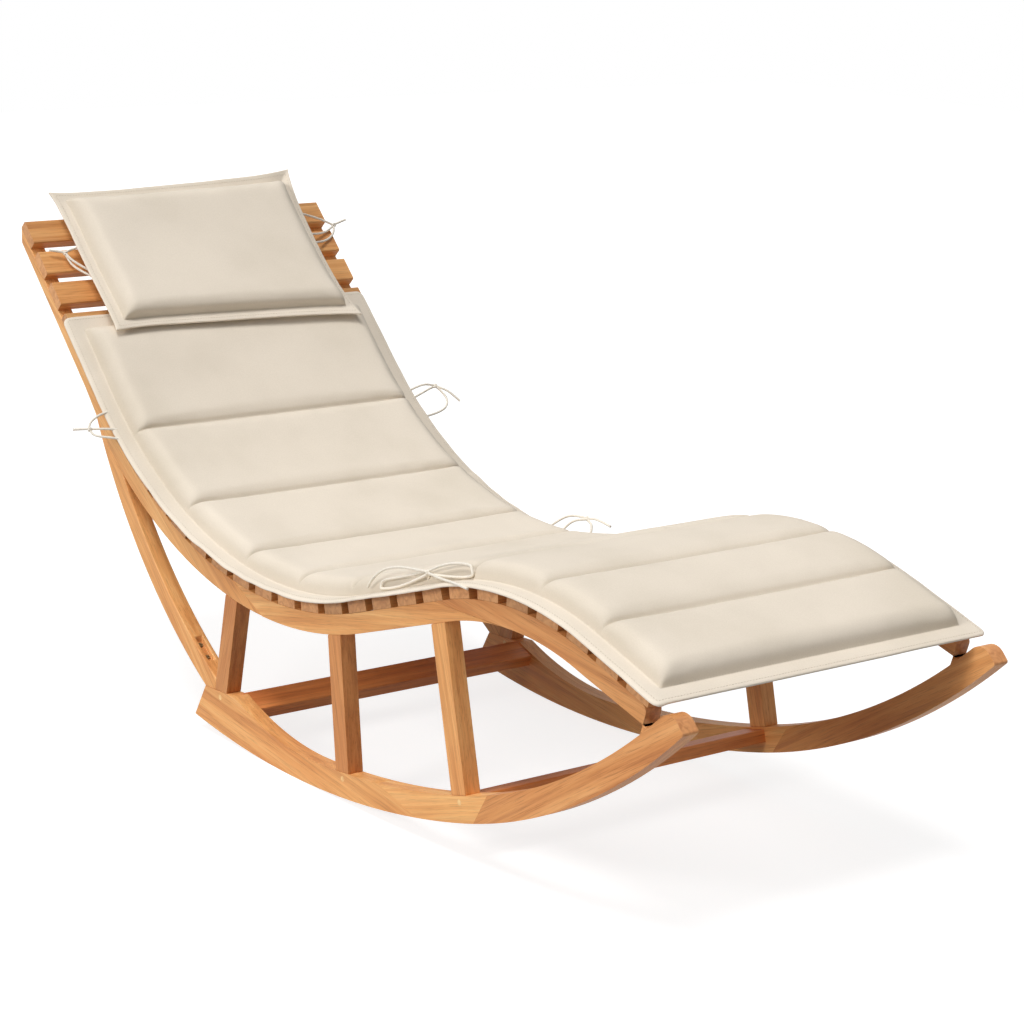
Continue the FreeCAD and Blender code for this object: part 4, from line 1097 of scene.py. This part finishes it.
def stitches(name, soft, runs, outline, put):
    """runs are pairs of places, each with the two ends of a straight seam."""
    graph = bpy.context.evaluated_depsgraph_get()
    tree = BVHTree.FromObject(soft.piece, graph)
    vertices, faces = [], []

    def landed(s, y):
        high = put(*outline(s, y), ABOVE)
        low = put(*outline(s, y), BELOW)
        way = (low - high).normalized()
        hit = tree.ray_cast(high, way)[0]
        return (hit if hit is not None else low), way

    for (s0, y0), (s1, y1) in runs:
        count = int(math.hypot(s1 - s0, y1 - y0) / STITCH_PITCH)
        half = STITCH_LENGTH / STITCH_PITCH / 2 / count
        for k in range(count):
            ends = []
            for share in ((k + 0.5) / count - half, (k + 0.5) / count + half):
                ends.append(landed(s0 + (s1 - s0) * share, y0 + (y1 - y0) * share))
            (a, way), (b, _) = ends
            run = b - a
            if run.length < 1e-6 or run.length > LONGEST_STITCH:
                continue
            across = run.cross(way).normalized() * STITCH_THICK
            lift = -way * STITCH_THICK
            first = len(vertices)
            for end, inset in ((a, STITCH_INSET), (b, -STITCH_INSET)):
                base = end + run * inset
                side = base + lift * STITCH_SIDE
                vertices += [side + across, base + lift * STITCH_TOP, side - across]
            for point in range(first, first + 3):
                vertices.append((vertices[point] + vertices[point + 3]) / 2 + lift * STITCH_HUMP)
            faces += [tuple(first + corner for corner in face) for face in STITCH_FACES]
    piece = mesh_piece(name, vertices, faces)
    smoothed(piece.data)
    finished(piece, STITCH)


def seam_runs(soft):
    """The edge's seam, its hem and the channels, each as its two ends."""
    half, length, flange = soft.width / 2, soft.length, soft.flange
    runs = []
    for inset in (flange, HEM):
        y, s0, s1 = half - inset, inset, length - inset
        runs += [((s0, -y), (s1, -y)), ((s0, y), (s1, y)), ((s0, -y), (s0, y)), ((s1, -y), (s1, y))]
    runs += [((s, flange - half), (s, half - flange)) for s in soft.seams]
    return runs


stitches("cushion_stitching", cushion, seam_runs(cushion), cushion_outline, on_rail)
stitches("pillow_stitching", pillow, seam_runs(pillow), pillow_outline, on_back)


# Screws of the back stays, two in each recess: place and outward direction in the side view, at rest

SCREW_PLACES = [((-289.22, 118.43), (0.5470, 0.8371)), ((-310.97, 133.09), (0.5706, 0.8213))]
SCREW_INSET = 13.5
# Radius and height of the round head from its cross outwards
SCREW_PROFILE = [(0.9, 1.25), (1.7, 2.3), (2.8, 2.25), (3.9, 1.75), (4.6, 0.9), (4.75, 0.1), (4.2, -0.1)]
SCREW_STEPS = 32
# The cross recess: how far out it reaches, its depth, its floor, and where in a turn its walls start
CROSS_REACH, CROSS_DEPTH, CROSS_FLOOR, CROSS_WALL = 3.2, 1.5, -0.2, 0.62


def screw_piece(name, middle, axis):
    """A round head with a cross recess, standing on the recess floor."""
    turn = Vector((0, 0, 1)).rotation_difference(axis).to_matrix()
    vertices, faces = [], []
    for radius, height in SCREW_PROFILE:
        for k in range(SCREW_STEPS):
            angle = 2 * math.pi * k / SCREW_STEPS
            cross = max(abs(math.cos(2 * angle)) - CROSS_WALL, 0.0) / (1 - CROSS_WALL)
            depth = height - CROSS_DEPTH * (cross if radius < CROSS_REACH else 0.0)
            local = Vector((radius * math.cos(angle), radius * math.sin(angle), depth)) / 1000
            vertices.append(middle + turn @ local)
    tip = len(vertices)
    vertices.append(middle + turn @ (Vector((0, 0, CROSS_FLOOR)) / 1000))
    for ring in range(len(SCREW_PROFILE) - 1):
        for k in range(SCREW_STEPS):
            a, b = ring * SCREW_STEPS + k, ring * SCREW_STEPS + (k + 1) % SCREW_STEPS
            faces.append((a, a + SCREW_STEPS, b + SCREW_STEPS, b))
    for k in range(SCREW_STEPS):
        faces.append((tip, k, (k + 1) % SCREW_STEPS))
    piece = mesh_piece(name, vertices, faces)
    smoothed(piece.data)
    finished(piece, SCREW)


for side, y in (("right", -1), ("left", 1)):
    for number, ((x, z), (nx, nz)) in enumerate(SCREW_PLACES, 1):
        middle = Vector((x, y * (SLAT_END - SCREW_INSET), z)) / 1000
        screw_piece("stay_screw_%s_%d" % (side, number), middle, Vector((nx, 0, nz)))


# Floor, background and light

FLOOR_HALF = 9  # metres
FLOOR_GREY, FLOOR_GLOW = 0.40, 0.80
WORLD_LIGHT = 0.24
LAMP_AWAY = 6  # metres


def white_floor():
    """Grey in the light, which keeps the shadow, with a glow that only shows and lights nothing."""
    m = Material("floor_white")
    grain = m.noise(m.place(), scale=40.0, detail=2.0)
    m.surface(
        Base_Color=(FLOOR_GREY, FLOOR_GREY, FLOOR_GREY, 1),
        Roughness=0.9,
        Specular_IOR_Level=0.1,
        Normal=m.bump(grain, distance=0.0002, strength=0.05),
    )
    glow = m.node("ShaderNodeEmission")
    m.link(m.math("MULTIPLY", m.seen(), FLOOR_GLOW), glow.inputs["Strength"])
    both = m.node("ShaderNodeAddShader")
    m.link(m.shader.outputs[0], both.inputs[0])
    m.link(glow.outputs[0], both.inputs[1])
    m.link(both.outputs[0], m.out.inputs[0])
    return m.material


corners = [(-FLOOR_HALF, -FLOOR_HALF, 0), (FLOOR_HALF, -FLOOR_HALF, 0)]
corners += [(FLOOR_HALF, FLOOR_HALF, 0), (-FLOOR_HALF, FLOOR_HALF, 0)]
floor = mesh_piece("floor", corners, [(0, 1, 2, 3)])
floor.data.materials.append(white_floor())


def studio():
    """A soft even light from all round, and white where the camera looks past the object."""
    world = bpy.data.worlds.new("studio")
    w = Nodes(world)
    out = w.node("ShaderNodeOutputWorld")
    mix = w.node("ShaderNodeMixShader")
    w.link(w.seen(), mix.inputs[0])
    for socket, strength in ((1, WORLD_LIGHT), (2, 1.0)):
        background = w.node("ShaderNodeBackground")
        background.inputs["Color"].default_value = WHITE
        background.inputs["Strength"].default_value = strength
        w.link(background.outputs[0], mix.inputs[socket])
    w.link(mix.outputs[0], out.inputs[0])
    return world


scene.world = studio()


def sun(name, azimuth, elevation, strength, spread):
    """A lamp far off, towards azimuth as the camera counts it, soft by its spread."""
    lamp = added(name, bpy.data.lights.new(name, "SUN"))
    lamp.data.energy = strength
    lamp.data.angle = math.radians(spread)
    a, e = math.radians(azimuth), math.radians(elevation)
    towards = Vector((math.sin(a) * math.cos(e), -math.cos(a) * math.cos(e), math.sin(e)))
    lamp.rotation_mode = "QUATERNION"
    lamp.rotation_quaternion = (-towards).to_track_quat("-Z", "Y")
    lamp.location = towards * LAMP_AWAY


sun("key", azimuth=4.0, elevation=28.0, strength=1.46, spread=24.0)
sun("top", azimuth=18.0, elevation=73.0, strength=1.74, spread=22.0)

scene.view_settings.view_transform = "Standard"
